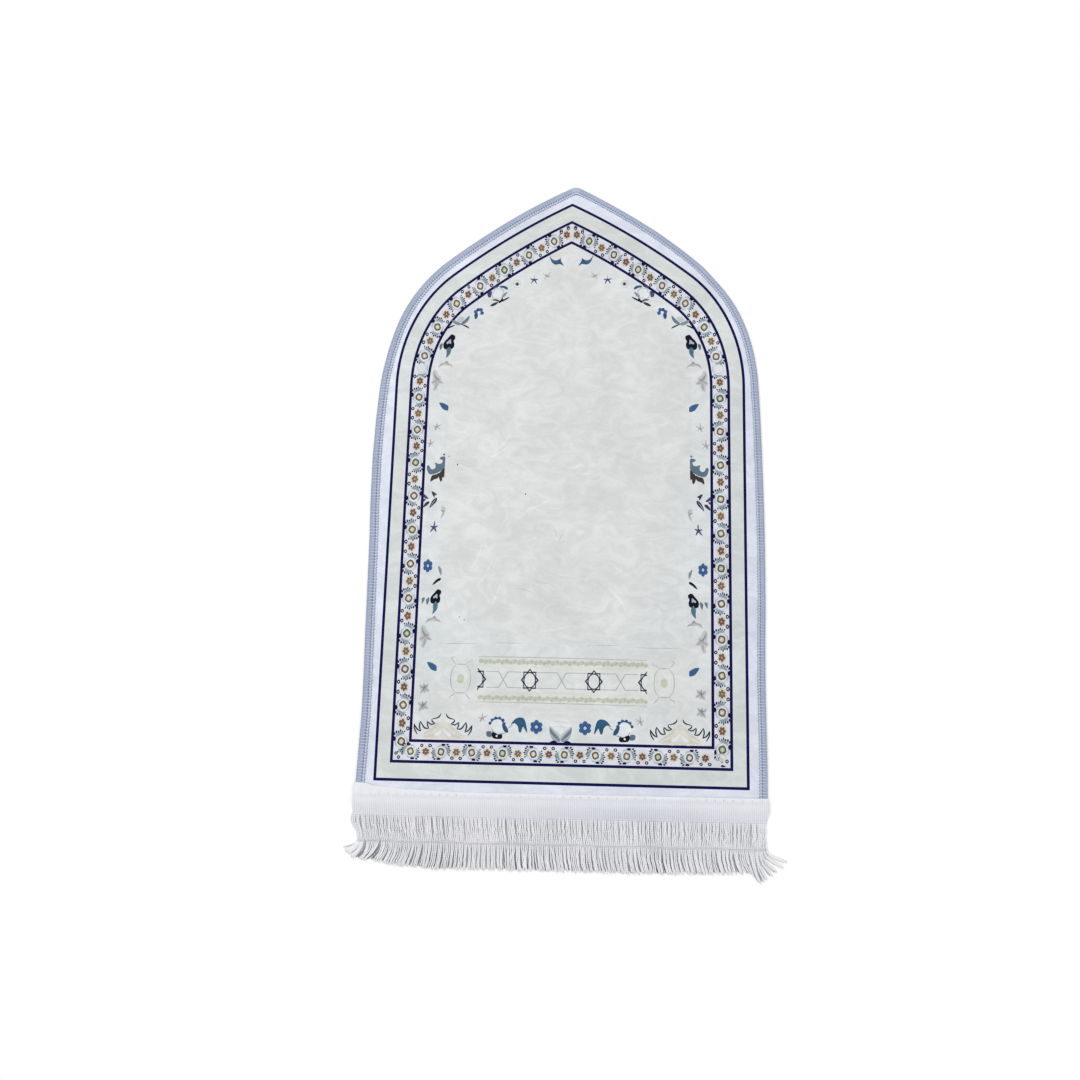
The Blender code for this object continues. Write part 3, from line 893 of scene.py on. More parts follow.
# Each row: motif, x and y on the left side.
FIELD = (
    (drawn(CURLED_LEAF), 25.3, 889),
    (drawn(SPRIG), 41.7, 861),
    (drawn(PLAIN_STAR), 63.6, 854),
    (drawn(RINGED_DOT), 93.1, 846),
    (drawn(BLOSSOM), 125.5, 827),
    (drawn(OPEN_FLOWER), 157.6, 792),
    (drawn(WINGED_LEAF), 188.5, 777),
    (drawn(TULIP), 207.6, 739),
    (drawn(CURVED_LEAF), 207.8, 720),
    (drawn(SMALL_LEAF), 221.5, 731),
    (drawn(SOFT_SPRAY), 210.9, 699),
    (drawn(LARGE_SPRAY), 222.0, 671.5),
    (drawn(LENS_LEAF), 211.6, 622),
    (drawn(THIN_STAR), 222.4, 586),
    (drawn(THIN_STAR), 231.9, 556),
    (drawn(SCROLL_LEAF), 220.6, 518),
    (drawn(LINE_LEAVES), 234.2, 457),
    (drawn(FREE_LEAVES), 222.0, 459.5),
    (drawn(SOFT_HOOK), 206.2, 437),
    (drawn(SLATE_STAR), 218.9, 411),
    (blue_flower(0.74), 226, 346),
    (drawn(GREY_LEAF), 205.6, 338),
    (drawn(THORN), 210.2, 320),
    (drawn(TULIP), 210.6, 295),
    (drawn(CURVED_LEAF), 210.5, 276),
    (drawn(LEAF_PAIR), 226.5, 287.6),
    (drawn(SOFT_SPRAY), 211.5, 257.5),
    (drawn(LARGE_SPRAY), 221.0, 231),
    (drawn(LENS_LEAF), 211.3, 180),
    (drawn(FEATHER_STAR), 222.3, 145),
    (drawn(FEATHER_STAR), 223.2, 117),
    (drawn(THIN_STAR), 126.5, 99),
    (drawn(BUD_FLOWER), 102.6, 87),
    (drawn(BIRD_LEAF), 65.0, 89.5),
    (blue_flower(0.95), 38.8, 87.5),
)
ZIGZAG_PEAK = (189.0, 105.0)
# The motifs under the arch are drawn a little larger than charted.
ARCH_MOTIFS_FROM = 735.0
ARCH_SPREAD = 1.15


def field_layers():
    """The motifs inside the third line. Each stands once on the left and mirrored on the right."""
    zigzag = drawn(ZIGZAG_TINT) + drawn(ZIGZAG)
    zigzag += widened(zigzag, -1.0)
    layers = placed(drawn(LOTUS), 0.0, LOTUS_HEIGHT)
    for motif, x, y in FIELD + ((zigzag, *ZIGZAG_PEAK),):
        size = ARCH_SPREAD if y > ARCH_MOTIFS_FROM else 1.0
        for side in (-1.0, 1.0):
            layers += [(ink, shape * (-side * size, size) + (side * x, y)) for ink, shape in motif]
    return layers


# ---------------------------------------------------------------- the panel

PANEL_CENTRE = 161.5
PANEL_HALF_WIDTH = 136.5
PANEL_LINES = (36.2, -36.4)
KEY_ROWS = (28.5, -29.5)
CELL_HALF_HEIGHT = 12.7
CROSSINGS = (-94.5, 0.0, 94.5)
CROSSING_REACH = 7.5
STAR_PLACES = (-51.6, 51.6)
STAR_SQUARE = ((-9.6, -12.7), (9.6, -12.7), (9.6, 12.7), (-9.6, 12.7))
STAR_DIAMOND = ((0, 17.2), (13.2, 0), (0, -17.2), (-13.2, 0))
STAR_LINE = 2.0
# Four ragged beads and the darker flecks on them. Each row: ink, x, y, width, height.
BEADS = (
    ("key", 3.4, 0.9, 9.4, 7.4),
    ("key", 11.0, -0.7, 8.4, 8.2),
    ("key", 17.6, 0.8, 8.6, 8.8),
    ("key", 24.0, -0.9, 8.0, 7.0),
    ("keydark", 5.2, 1.8, 4.4, 2.6),
    ("keydark", 2.2, -1.4, 3.6, 2.2),
    ("keydark", 10.4, -2.0, 3.0, 3.4),
    ("keydark", 12.8, 1.6, 3.4, 2.2),
    ("keydark", 18.6, 0.8, 3.4, 4.4),
    ("keydark", 24.4, -1.4, 4.0, 2.8),
)
BEAD_REPEAT = 27.2
CARTOUCHE_X = 163.7
CARTOUCHE = (
    ("panel", 0, ((-8, 22), (8, 22), (14, 14), (15, 0), (14, -13), (8, -21.5), (-8, -21.5), (-14, -13),
                  (-15, 0), (-14, 14))),
    ("thin", 1.5, ((-8, 23), (0, 23.4), (8, 23))),
    ("thin", 1.5, ((8, 23), (13.5, 15), (15.6, 6), (15.6, -6), (13.8, -14), (8, -22.5))),
    ("thin", 1.7, ((-8, 23), (-13.5, 15), (-15.8, 6), (-15.8, -6), (-13.8, -14), (-8, -22.5))),
    ("thin", 1.8, ((-8, -22.5), (0, -22.8), (8, -22.5))),
    ("dull", 1.2, ((-5, 19), (-11, 12), (-12, 0), (-11, -11), (-5, -18))),
    ("dull", 1.2, ((5, 19), (11, 12), (12, 0), (11, -11), (5, -18))),
    ("thin", 1.4, ((-8, 23), (-13, 28), (-16, 33), (-10, 35))),
    ("thin", 1.2, ((8, 23), (13, 28), (18, 29), (17, 33))),
    ("thin", 1.4, ((-8, -22.5), (-11, -26), (-16, -29), (-17, -33))),
    ("thin", 1.6, ((8, -22.5), (12, -28), (17, -33))),
    ("blot", 0, ((-5, 3), (-3, 6.5), (2, 7), (5.6, 3), (5, -3), (4, -6), (-1, -7.5), (-5, -5), (-6, -1))),
    ("key", 3.0, ((0.4, -1),)),
)


def box(left, low, right, high):
    return np.array([(left, low), (right, low), (right, high), (left, high)], float)


def line_star():
    """Two crossed squares drawn in line, taller than wide."""
    square, square_hole = frame_of(STAR_SQUARE, STAR_LINE / 1.5)
    diamond, diamond_hole = frame_of(STAR_DIAMOND, STAR_LINE / 1.3)
    shapes = (square, diamond, square_hole, diamond_hole, ellipse(20.6, 26.8, 16), ellipse(17.0, 22.6, 16))
    return list(zip(("frame", "frame", "panel", "panel", "frame", "panel"), shapes))


def panel_layers():
    """The oblong panel: rows of plain marks, linked cells, stars, and a cartouche at both ends."""
    wide, rows = PANEL_HALF_WIDTH, KEY_ROWS
    layers = [
        ("panelstrip", box(-wide, rows[1] - 6.0, wide, rows[0] + 6.0)),
        ("panel", box(-wide, -CELL_HALF_HEIGHT - 6, wide, CELL_HALF_HEIGHT + 6)),
    ]
    for y in PANEL_LINES:
        layers.append(("thin", stroke(((-wide, y), (-0.3 * wide, y + 0.4), (wide, y - 0.6)), 1.3, 0.6)))
    for y in rows:
        for start in np.arange(-wide + 2.0, wide - BEAD_REPEAT + 4.0, BEAD_REPEAT):
            for ink, x, up, across, high in BEADS:
                layers.append((ink, ellipse(across, high, 10) + (start + x, y + up)))
    ends = [-wide + 14.0, *CROSSINGS, wide - 14.0]
    for left, right in zip(ends, ends[1:]):
        near = left + (CROSSING_REACH if left in CROSSINGS else 0.0)
        far = right - (CROSSING_REACH if right in CROSSINGS else 0.0)
        for y in (-CELL_HALF_HEIGHT, CELL_HALF_HEIGHT):
            layers.append(("thin", box(near, y - 0.7, far, y + 0.7)))
    for x in CROSSINGS:
        for lean in (-CROSSING_REACH, CROSSING_REACH):
            bar = ((x - lean, -CELL_HALF_HEIGHT), (x + lean, CELL_HALF_HEIGHT))
            layers.append(("thin", stroke(bar, 1.7, 1.0)))
    for x in STAR_PLACES:
        layers += placed(line_star(), x, 0.0)
    half_star = [(ink, np.maximum(shape, (0.0, -np.inf))) for ink, shape in line_star()]
    left_end = placed(half_star, -wide, 0.0) + placed(drawn(CARTOUCHE), -CARTOUCHE_X, 0.0)
    return placed(layers + left_end + widened(left_end, -1.0), 0.0, PANEL_CENTRE)


# ---------------------------------------------------------------- painted sheen and shade on the pile, and flecks

# Each row: ink, x, y, length, direction in degrees clockwise from +y, width.
# The lighter strokes are painted sheen on the pile, the duller ones and those along creases are
# painted shade, and the flecks are dark specks.
SHEEN_SHADE_AND_FLECK_MARKS = (
    ("gleam", -98, 655, 70, 88, 1.6),
    ("dull", -60, 648, 90, 92, 1.1),
    ("gleam", 93, 637, 34, -28, 2.4),
    ("gleam", 104, 642, 26, -32, 2.0),
    ("dull", 98, 630, 30, -30, 1.2),
    ("gleam", -108, 560, 44, 40, 3.2),
    ("gleam", -118, 540, 30, 60, 2.6),
    ("dull", -10, 546, 16, 4, 1.6),
    ("gleam", 15, 520, 34, 80, 2.8),
    ("gleam", 26, 508, 26, 95, 2.2),
    ("dull", 44, 516, 40, 70, 1.2),
    ("gleam", -46, 452, 38, 68, 3.0),
    ("gleam", -70, 438, 30, 50, 2.6),
    ("dull", -30, 440, 26, 75, 1.2),
    ("crease_shade", -16, 404, 20, -18, 1.3),
    ("crease_shade", -8, 398, 22, 25, 1.2),
    ("gleam", 0, 392, 26, 12, 2.4),
    ("gleam", -146, 362, 46, 24, 3.0),
    ("gleam", -132, 334, 52, 32, 3.4),
    ("gleam", -112, 300, 40, 20, 3.0),
    ("dull", -122, 350, 48, 28, 1.4),
    ("crease_shade", -62, 306, 34, -72, 1.1),
    ("crease_shade", -30, 318, 40, -74, 1.0),
    ("gleam", -48, 316, 52, -72, 1.6),
    ("gleam", 10, 330, 46, -78, 1.8),
    ("gleam", 84, 300, 30, -40, 3.4),
    ("gleam", 96, 286, 26, -20, 3.0),
    ("dull", 150, 284, 40, -60, 2.4),
    ("dull", 170, 262, 36, -75, 2.6),
    ("gleam", 120, 408, 36, 70, 1.6),
    ("dull", 142, 402, 60, 84, 1.0),
    ("dull", 150, 498, 90, 90, 1.0),
    ("gleam", -160, 470, 40, 100, 1.6),
    ("dull", -150, 600, 60, 88, 1.0),
    ("gleam", 40, 700, 60, 94, 1.4),
    ("gleam", -30, 740, 50, 84, 1.4),
    ("dull", 70, 760, 40, 100, 1.0),
    ("gleam", 150, 560, 30, 60, 1.8),
    ("gleam", -20, 246, 60, 84, 2.0),
    ("gleam", 60, 238, 46, 96, 1.8),
    ("dull", -100, 236, 60, 90, 1.2),
    ("thin", -172, 219, 70, 90, 0.9),
    ("thin", -88, 221, 46, 91, 0.8),
    ("thin", 66, 220, 52, 89, 0.8),
    ("thin", 152, 218, 80, 90, 0.9),
    ("fleck", -67.5, 470, 3.0, 30, 2.0),
    ("fleck", -184, 520, 3.4, 10, 2.0),
    ("fleck", -199, 534, 2.4, 0, 1.6),
    ("fleck", -170, 262, 3.0, 40, 1.1),
    ("fleck", -162, 257, 3.0, 10, 1.0),
)


def sheen_shade_and_fleck_layers():
    """Strokes where the pile lies flat, painted as sheen where lighter and as shade where duller than the
    ground round them, and a few dark flecks.
    """
    layers = []
    for ink, x, y, length, turn, wide in SHEEN_SHADE_AND_FLECK_MARKS:
        arch = length * (0.012 if ink == "thin" else 0.06)
        path = ((0, -length / 2), (arch, -length / 6), (arch * 0.6, length / 5), (0, length / 2))
        layers.append((ink, moved(stroke(path, wide, 0.1), x, y, -turn)))
    return layers


# ---------------------------------------------------------------- the cloth

def print_layers():
    """Every printed shape and the painted sheen and shade on the pile, in painter's order, the ground first.
    """
    layers = []
    inside = ("band", "strip", "verge")
    for (distance, bottom), ink in zip(LINES, inside):
        layers.append(("navy", closed_line(distance, bottom, LINE_WIDTH / 2.0)))
        layers.append((ink, closed_line(distance, bottom, -LINE_WIDTH / 2.0)))
    layers.append(("field", closed_line(*VERGE, 0.0)))
    return layers + side_border() + bottom_border() + sheen_shade_and_fleck_layers() + panel_layers() + field_layers()


# Slow changes across the pile, partly its own tone and partly painted sheen and painted shade.
# Each row: x, y, width, height, and what is added to red, green and blue.
TONE_SHEEN_AND_SHADE_PATCHES = (
    (-107, 545, 70, 60, 0.022, 0.022, 0.020),
    (-50, 450, 70, 50, 0.020, 0.020, 0.018),
    (-140, 335, 60, 80, 0.030, 0.030, 0.030),
    (-190, 225, 60, 60, -0.020, 0.005, 0.004),
    (10, 285, 60, 50, -0.022, -0.020, -0.020),
    (85, 300, 40, 36, 0.040, 0.036, 0.034),
    (165, 270, 50, 50, -0.050, -0.042, -0.036),
    (10, 215, 110, 22, -0.012, 0.002, 0.006),
    (95, 640, 60, 70, -0.008, -0.008, -0.010),
    (60, 560, 50, 80, -0.014, -0.014, -0.014),
    (-20, 760, 110, 50, 0.010, 0.010, 0.008),
    (-110, 110, 60, 20, 0.014, 0.010, 0.004),
    (120, 110, 60, 20, -0.012, -0.006, 0.000),
    (200, 400, 24, 90, -0.020, -0.004, 0.002),
    (-200, 400, 24, 90, 0.006, 0.010, 0.010),
    (0, 15, 260, 16, -0.014, -0.004, -0.014),
    (-265, 500, 12, 90, 0.006, 0.000, -0.004),
    (300, 300, 60, 320, -0.060, -0.060, -0.050),
    (215, 10, 80, 30, -0.080, -0.075, -0.075),
    (0, 940, 150, 60, -0.050, -0.070, -0.070),
)


def tone_sheen_and_shade_factors(x, y):
    """The slow changes across the pile, its own tone with painted sheen and shade, as factors for red, green
    and blue.
    """
    tones = np.ones((len(x), 3))
    for px, py, wide, high, *colour in TONE_SHEEN_AND_SHADE_PATCHES:
        near = np.exp(-((x - px) / wide) ** 2 - ((y - py) / high) ** 2)
        tones += near[:, None] * np.array(colour)
    return tones


def linear(ink):
    """An ink's hexadecimal sRGB value as linear red, green, blue and full alpha."""
    code = INKS[ink].lstrip("#")
    values = np.array([int(code[k:k + 2], 16) for k in (0, 2, 4)]) / 255.0
    return (*np.where(values > 0.04045, ((values + 0.055) / 1.055) ** 2.4, values / 12.92), 1.0)


def area_of(outline):
    """The area inside an outline, negative where it runs clockwise."""
    x, y = outline.T
    return np.sum(x * np.roll(y, -1) - y * np.roll(x, -1)) / 2.0


def anticlockwise(points):
    return points if area_of(points) > 0 else points[::-1]


def inside_outline(points, outline):
    """Which of the points lie within a closed outline."""
    x, y = points.T
    found = np.zeros(len(points), bool)
    for (ax, ay), (bx, by) in zip(outline, np.roll(outline, -1, axis=0)):
        crosses = (ay > y) != (by > y)
        with np.errstate(divide="ignore", invalid="ignore"):
            found ^= crosses & (x < (bx - ax) * (y - ay) / (by - ay) + ax)
    return found


# The pile's soft troughs and ridges. Each row: x and y of its start, x and y of its end, width, rise.
CREASES = (
    (-215, 221, 221, 219, 2.6, -0.45),
    (-78, 302, -8, 326, 3.0, -0.50),
    (-4, 324, 34, 334, 2.6, 0.35),
    (-24, 414, -8, 384, 3.4, -0.45),
    (0, 412, -6, 378, 3.0, 0.40),
    (-168, 392, -100, 280, 6.0, 0.50),
    (-150, 396, -84, 288, 4.0, -0.35),
    (-120, 570, -86, 530, 5.0, 0.40),
    (-60, 470, -18, 440, 4.0, 0.40),
    (78, 612, 110, 668, 4.0, 0.45),
    (92, 606, 122, 660, 3.0, -0.35),
    (-6, 530, 48, 510, 4.0, 0.40),
    (-140, 656, -10, 652, 2.4, -0.30),
    (100, 404, 190, 398, 2.4, -0.30),
    (96, 500, 204, 496, 2.2, -0.30),
    (66, 316, 100, 276, 5.0, 0.45),
    (130, 300, 182, 250, 7.0, -0.50),
    (-40, 716, 70, 700, 4.0, 0.30),
    (-262, 250, -262, 420, 3.0, 0.25),
    (-290, 30, -240, 26, 3.0, -0.30),
    (120, 14, 210, 16, 3.0, -0.30),
)


def relief(x, y):
    """How far the pile stands over its even height: the creases, each fading out at its ends."""
    height = np.zeros_like(x)
    for x1, y1, x2, y2, wide, rise in CREASES:
        length = math.hypot(x2 - x1, y2 - y1)
        ux, uy = (x2 - x1) / length, (y2 - y1) / length
        along = (x - x1) * ux + (y - y1) * uy
        across = (y - y1) * ux - (x - x1) * uy
        fade = np.sin(math.pi * np.clip(along / length, 0.0, 1.0)) ** 0.5
        height += rise * fade * np.exp(-(across / wide) ** 2)
    return height


def top_height(x, y, depth):
    """The pile's height, which is pressed down to EDGE_TOP under the binding."""
    return EDGE_TOP + (CLOTH_THICKNESS + relief(x, y) - EDGE_TOP) * eased(depth / PRESSED_OVER)


def depth_inside(points, edge):
    """How far each point lies inside the line where the pile comes out from under the binding."""
    inner = inset(edge, binding_width(edge[:, 0]) - PRESSED_INSIDE)
    best = np.full(len(points), np.inf)
    for a, b in zip(inner, inner[1:]):
        step = b - a
        share = np.clip(((points - a) @ step) / (step @ step), 0.0, 1.0)
        best = np.minimum(best, np.hypot(*(points - a - share[:, None] * step).T))
    return np.where(inside_outline(points, inner), best, -best)


def cut_velvet(edge):
    """The top face, cut along every printed outline: points, triangles, inks, rim and layers."""
    outline = anticlockwise(inset(edge, EDGE_INSET))
    layers = [("margin", outline)] + [(ink, anticlockwise(shape)) for ink, shape in print_layers()]
    low, high = outline.min(axis=0), outline.max(axis=0)
    across, up = np.meshgrid(np.arange(low[0], high[0], GRID_STEP), np.arange(low[1], high[1], GRID_STEP))
    grid = np.stack([across.ravel(), up.ravel()], axis=1)
    grid = grid[inside_outline(grid, inset(edge, EDGE_INSET + 1.0))]

    points, faces = [], []
    for _, shape in layers:
        faces.append(list(range(len(points), len(points) + len(shape))))
        points.extend(shape)
    points.extend(grid)
    found = delaunay_2d_cdt([Vector(p) for p in points], [], faces, 1, 1e-4)
    flat = np.array([tuple(p) for p in found[0]])
    triangles = np.array(found[2])
    top_ink = np.array([max(origins) for origins in found[5]])

    top = np.column_stack([flat, top_height(*flat.T, depth_inside(flat, edge))])
    rim = [next(k for k, origins in enumerate(found[3]) if i in origins) for i in range(len(outline))]
    return top, triangles, top_ink, np.array(rim), layers


def cloth_object(edge):
    """The velvet's top, its edge down to the sole, and the flat sole."""
    top, triangles, top_ink, rim, layers = cut_velvet(edge)
    count, size = len(top), len(rim)
    inner = anticlockwise(inset(edge, binding_width(edge[:, 0])))
    wall = np.column_stack([top[rim, :2], np.full(size, EDGE_BOTTOM)])
    sole = np.column_stack([inner, np.zeros(size)])
    faces = [tuple(t) for t in triangles]
    for k in range(size):
        n = (k + 1) % size
        faces.append((rim[n], rim[k], count + k, count + n))
        faces.append((count + n, count + k, count + size + k, count + size + n))
    faces.append(tuple(range(count + 2 * size - 1, count + size - 1, -1)))
    obj = add_mesh("printed_velvet", np.vstack([top, wall, sole]), faces, printed_velvet())
    inks = np.array([linear(ink) for ink, _ in layers])[top_ink]
    # The print is multiplied by the pile's tone with its painted sheen and shade.
    inks[:, :3] *= tone_sheen_and_shade_factors(*top[triangles].mean(axis=1)[:, :2].T)
    colors = np.vstack([inks, np.tile(linear("margin"), (len(faces) - len(triangles), 1))])
    store(obj, "print", "FLOAT_COLOR", "FACE", "color", colors)
    return obj


# ---------------------------------------------------------------- meshes

def shift():
    """What moves the print's frame onto the row frame, in mm."""
    low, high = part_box("edge_binding")
    edge = edge_path()
    return np.array([low.x / MM - edge[:, 0].min(), high.y / MM - edge[:, 1].max(), 0.0])


def linked(name, data):
    obj = bpy.data.objects.new(name, data)
    bpy.context.scene.collection.objects.link(obj)
    return obj


def add_mesh(name, verts, faces, finish):
    mesh = bpy.data.meshes.new(name)
    mesh.from_pydata(((np.asarray(verts) + SHIFT) * MM).tolist(), [], faces)
    mesh.validate()
    mesh.shade_smooth()
    mesh.materials.append(finish)
    obj = linked(name, mesh)
    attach(obj, "root")
    return obj


def store(obj, name, kind, domain, field, values):
    attribute = obj.data.attributes.new(name, kind, domain)
    attribute.data.foreach_set(field, np.asarray(values, np.float32).ravel())


def thread_piece(name, slot, verts, faces, place, shade, finish=None):
    """A piece of thread that knows each point's place on it and how deep in shade the point lies."""
    obj = add_mesh(name, verts, faces, thread_finish(finish or slot))
    store(obj, "place", "FLOAT_VECTOR", "POINT", "vector", place)
    store(obj, "shade", "FLOAT", "POINT", "value", shade)
    return obj


def tubes(centres, side, wide, high, count, turn=0.0):
    """Closed tubes of an elliptical section round centre lines, a (tube, station, 3) array.

    side is the way in which wide is measured, and high is measured square to it. Returns points,
    faces and each point's place on its tube: distance along it and share of the way round.
    """
    number, stations = centres.shape[:2]
    along = unit(np.gradient(centres, axis=1))
    side = unit(side - np.sum(side * along, axis=2, keepdims=True) * along)
    normals = np.cross(side, along)
    across, up = spokes(np.arange(count) * 2.0 * math.pi / count + turn).T[..., None]
    wide, high = (np.broadcast_to(size, (number, stations))[..., None, None] for size in (wide, high))
    rings = centres[:, :, None] + side[:, :, None] * across * wide + normals[:, :, None] * up * high
    base = (np.arange(number)[:, None, None] * stations + np.arange(stations - 1)[:, None]) * count
    k = np.arange(count)
    n = (k + 1) % count
    quads = np.stack([base + k, base + n, base + n + count, base + k + count], axis=-1)
    faces = quads.reshape(-1, 4).tolist()
    for first in range(0, number * stations * count, stations * count):
        last = first + (stations - 1) * count
        faces.append(list(range(first + count - 1, first - 1, -1)))
        faces.append(list(range(last, last + count)))
    place = np.zeros(rings.shape)
    steps = np.linalg.norm(np.diff(centres, axis=1), axis=2)
    place[:, 1:, :, 0] = np.cumsum(steps, axis=1)[..., None]
    place[..., 1] = k / count
    return rings.reshape(-1, 3), faces, place.reshape(-1, 3)


# ---------------------------------------------------------------- the binding

# A bar's way round the edge. Each row: share of the binding's width, height, shade.
SOLE_PROFILE = ((0.97, 0.4, 0.2), (0.5, 0.4, 0.2), (0.09, 0.42, 0.3), (0.03, 0.85, 0.4))
TOP_PROFILE = (
    (0.00, 1.75, 0.50),
    (0.03, 2.65, 0.48),
    (0.09, 3.15, 0.42),
    (0.15, 3.36, 0.28),
    (0.40, 3.40, 0.20),
    (0.60, 3.32, 0.24),
    (0.645, 3.20, 0.40),
    (0.71, 3.10, 0.40),
    (0.75, 3.22, 0.06),
    (0.84, 3.30, 0.00),
    (0.92, 3.28, 0.04),
    (0.96, 3.20, 0.55),
    (1.04, 3.05, 0.70),
)
NEEDLE_SHARES = (0.645, 0.71)


def binding_bars(edge):
    """Bars of thread round the cloth's edge, from the sole, over the edge, to the needle line."""
    length = run_along(edge)[-1]
    number = int(length / BAR_PITCH)
    distances = (np.arange(number) + 0.5) * length / number
    place = walk(edge, distances)
    inward = unit(walk(edge, distances, inwards(edge)))
    along = np.stack([-inward[:, 1], inward[:, 0]], axis=1)
    shares, heights, tones = np.array(SOLE_PROFILE + TOP_PROFILE).T
    even = np.arange(number) % 2 == 0
    sign = np.where(even, 1.0, -1.0)[:, None]
    rng = np.random.default_rng(3)
    uneven = rng.normal(0.0, BAR_UNEVEN, (number, 1)) + PAIR_STEP * sign
    reach = shares * binding_width(place[:, 0])[:, None]
    reach[:, -1] += rng.normal(0.0, BAR_END_UNEVEN, number) - PAIR_END_STEP * ~even
    lean = BAR_LEAN * sign * np.clip(shares - LEAN_FROM, 0.0, 1.0)
    centres = np.zeros((number, len(shares), 3))
    centres[..., :2] = place[:, None] + inward[:, None] * reach[..., None] + along[:, None] * lean[..., None]
    centres[..., 2] = heights + uneven * (shares > 0.05)
    wide = np.full((number, len(shares)), BAR_HALF_WIDE)
    wide[:, -1] *= 0.7
    shade = np.tile(tones, (number, 1))
    shade[np.ix_(even, np.isin(shares, NEEDLE_SHARES))] = 1.0
    shade += EVEN_SHADE * even[:, None]
    side = np.column_stack([along, np.zeros(number)])[:, None]
    mesh = tubes(centres, side, wide, BAR_HALF_HIGH, BAR_SIDES, turn=math.pi / 2)
    return thread_piece("thread_binding", "overlock_thread", *mesh, np.repeat(shade, BAR_SIDES, axis=1))


# ---------------------------------------------------------------- the trim

def header_base(x):
    """How high the header's underside lies: over the cloth, or over the binding at both ends."""
    left = BINDING_LEFT - LINE_HALF_WIDTH - EDGE_MARGIN[0][1]
    right = LINE_HALF_WIDTH + EDGE_MARGIN[0][2] - BINDING_RIGHT
    return np.interp(x, (left + 16, left + 32, right - 32, right - 16), (3.9, 3.35, 3.35, 3.9))


def header_object():
    """The woven tape: a rib for each yarn, needle holes near its upper edge."""
    across = np.linspace(HEADER_LEFT, HEADER_RIGHT, STRANDS * RIB_STATIONS + 1)
    edge = np.interp(across, *np.array(HEADER_EDGE).T)
    y = np.array([edge, edge - 0.8, edge - 2.0, *(np.full_like(edge, down) for down in HEADER_DOWN)])
    x = np.tile(across, (len(y), 1))
    x = x + HEADER_FLARE * np.clip((x - 300.0) / 22.0, 0.0, 1.0) * np.clip((y + 52.0) / 12.0, 0.0, 1.0)
    base = header_base(x) * eased((y - HEADER_LANDING) / (HEADER_STEP - HEADER_LANDING))
    rib = 0.5 - 0.5 * np.cos((x - HEADER_LEFT) / (HEADER_RIGHT - HEADER_LEFT) * STRANDS * 2.0 * math.pi)
    strength = np.interp(y, *RIB_HEIGHT)
    turns = x / NEEDLE_PITCH + 0.12 * np.sin(x * 0.031)
    needle = np.exp(-((turns % 1.0 - 0.5) * NEEDLE_PITCH / 1.2) ** 2 - ((y - NEEDLE_LINE) / 1.1) ** 2)
    top = base + np.interp(y, *TAPE_THICKNESS) + rib * strength - NEEDLE_DEPTH * needle
    top[0] -= 0.5 * TAPE_THICKNESS[1][-1]
    patchy = 0.5 + 0.4 * np.exp(-((x - 120.0) / 130.0) ** 2)
    needle *= 0.35 + 0.3 * np.sin(x * 0.043) * np.sin(x * 0.017 + 1.0)
    shade = (1.0 - rib) * strength * 0.95 * patchy + 0.85 * needle
    shade += 0.10 * np.exp(-((y + 24.0) / 2.5) ** 2)

    verts = np.stack([np.tile(x, (2, 1)), np.tile(trim_line(y, x), (2, 1)), np.vstack([top, base])], axis=-1)
    number = np.arange(x.size).reshape(x.shape)
    a, b = number[:-1, :-1], number[1:, :-1]
    quads = np.stack([a, b, b + 1, a + 1], axis=-1).reshape(-1, 4)
    rim = np.concatenate([number[0], number[1:, -1], number[-1, -2::-1], number[-2:0:-1, 0]])
    walls = np.stack([rim, np.roll(rim, -1), np.roll(rim, -1) + x.size, rim + x.size], axis=1)
    faces = np.vstack([quads, quads[:, ::-1] + x.size, walls]).tolist()
    place = np.stack([y, x, np.zeros_like(x)], axis=-1).reshape(-1, 3)
    return thread_piece("trim_header", "fringe_yarn", verts.reshape(-1, 3), faces, np.tile(place, (2, 1)),
                        np.tile(shade.ravel(), 2), finish="header_weave")


def wander(rng, number):
    """A smooth sideways wander of each yarn, partly shared with its neighbours."""
    raw = rng.normal(0.0, 1.0, (number, YARN_STATIONS))
    kernel = np.hanning(WANDER_NEIGHBOURS + 2)[1:-1]
    kernel /= np.sqrt(np.sum(kernel ** 2))
    shared = np.stack([np.convolve(line, kernel, mode="same") for line in raw.T], axis=1)
    return 0.55 * shared + 0.45 * rng.normal(0.0, 1.0, raw.shape)


def locks(rng, number):
    """Which lock each yarn belongs to: one to three neighbours cling together."""
    sizes = rng.choice((1, 2, 2, 2, 3), number)
    return np.repeat(np.arange(number), sizes)[:number]


def lock_middles(x, lock):
    """For each yarn, the mean place of its lock at every station."""
    counts = np.bincount(lock)
    sums = np.zeros((len(counts), x.shape[1]))
    np.add.at(sums, lock, x)
    return (sums / counts[:, None])[lock]


def parted(x, row_x, along):
    """Pushes the yarns apart where the fringe falls open, more towards their cut ends."""
    for place, opening, wide, reach in PARTINGS:
        grown = np.clip((along - opening) / (1.0 - opening), 0.0, 1.0) ** 0.7
        beside = row_x - place
        push = np.sign(beside) * 0.5 * wide * np.exp(-np.abs(beside) / reach)
        x += push[:, None] * grown
    return x


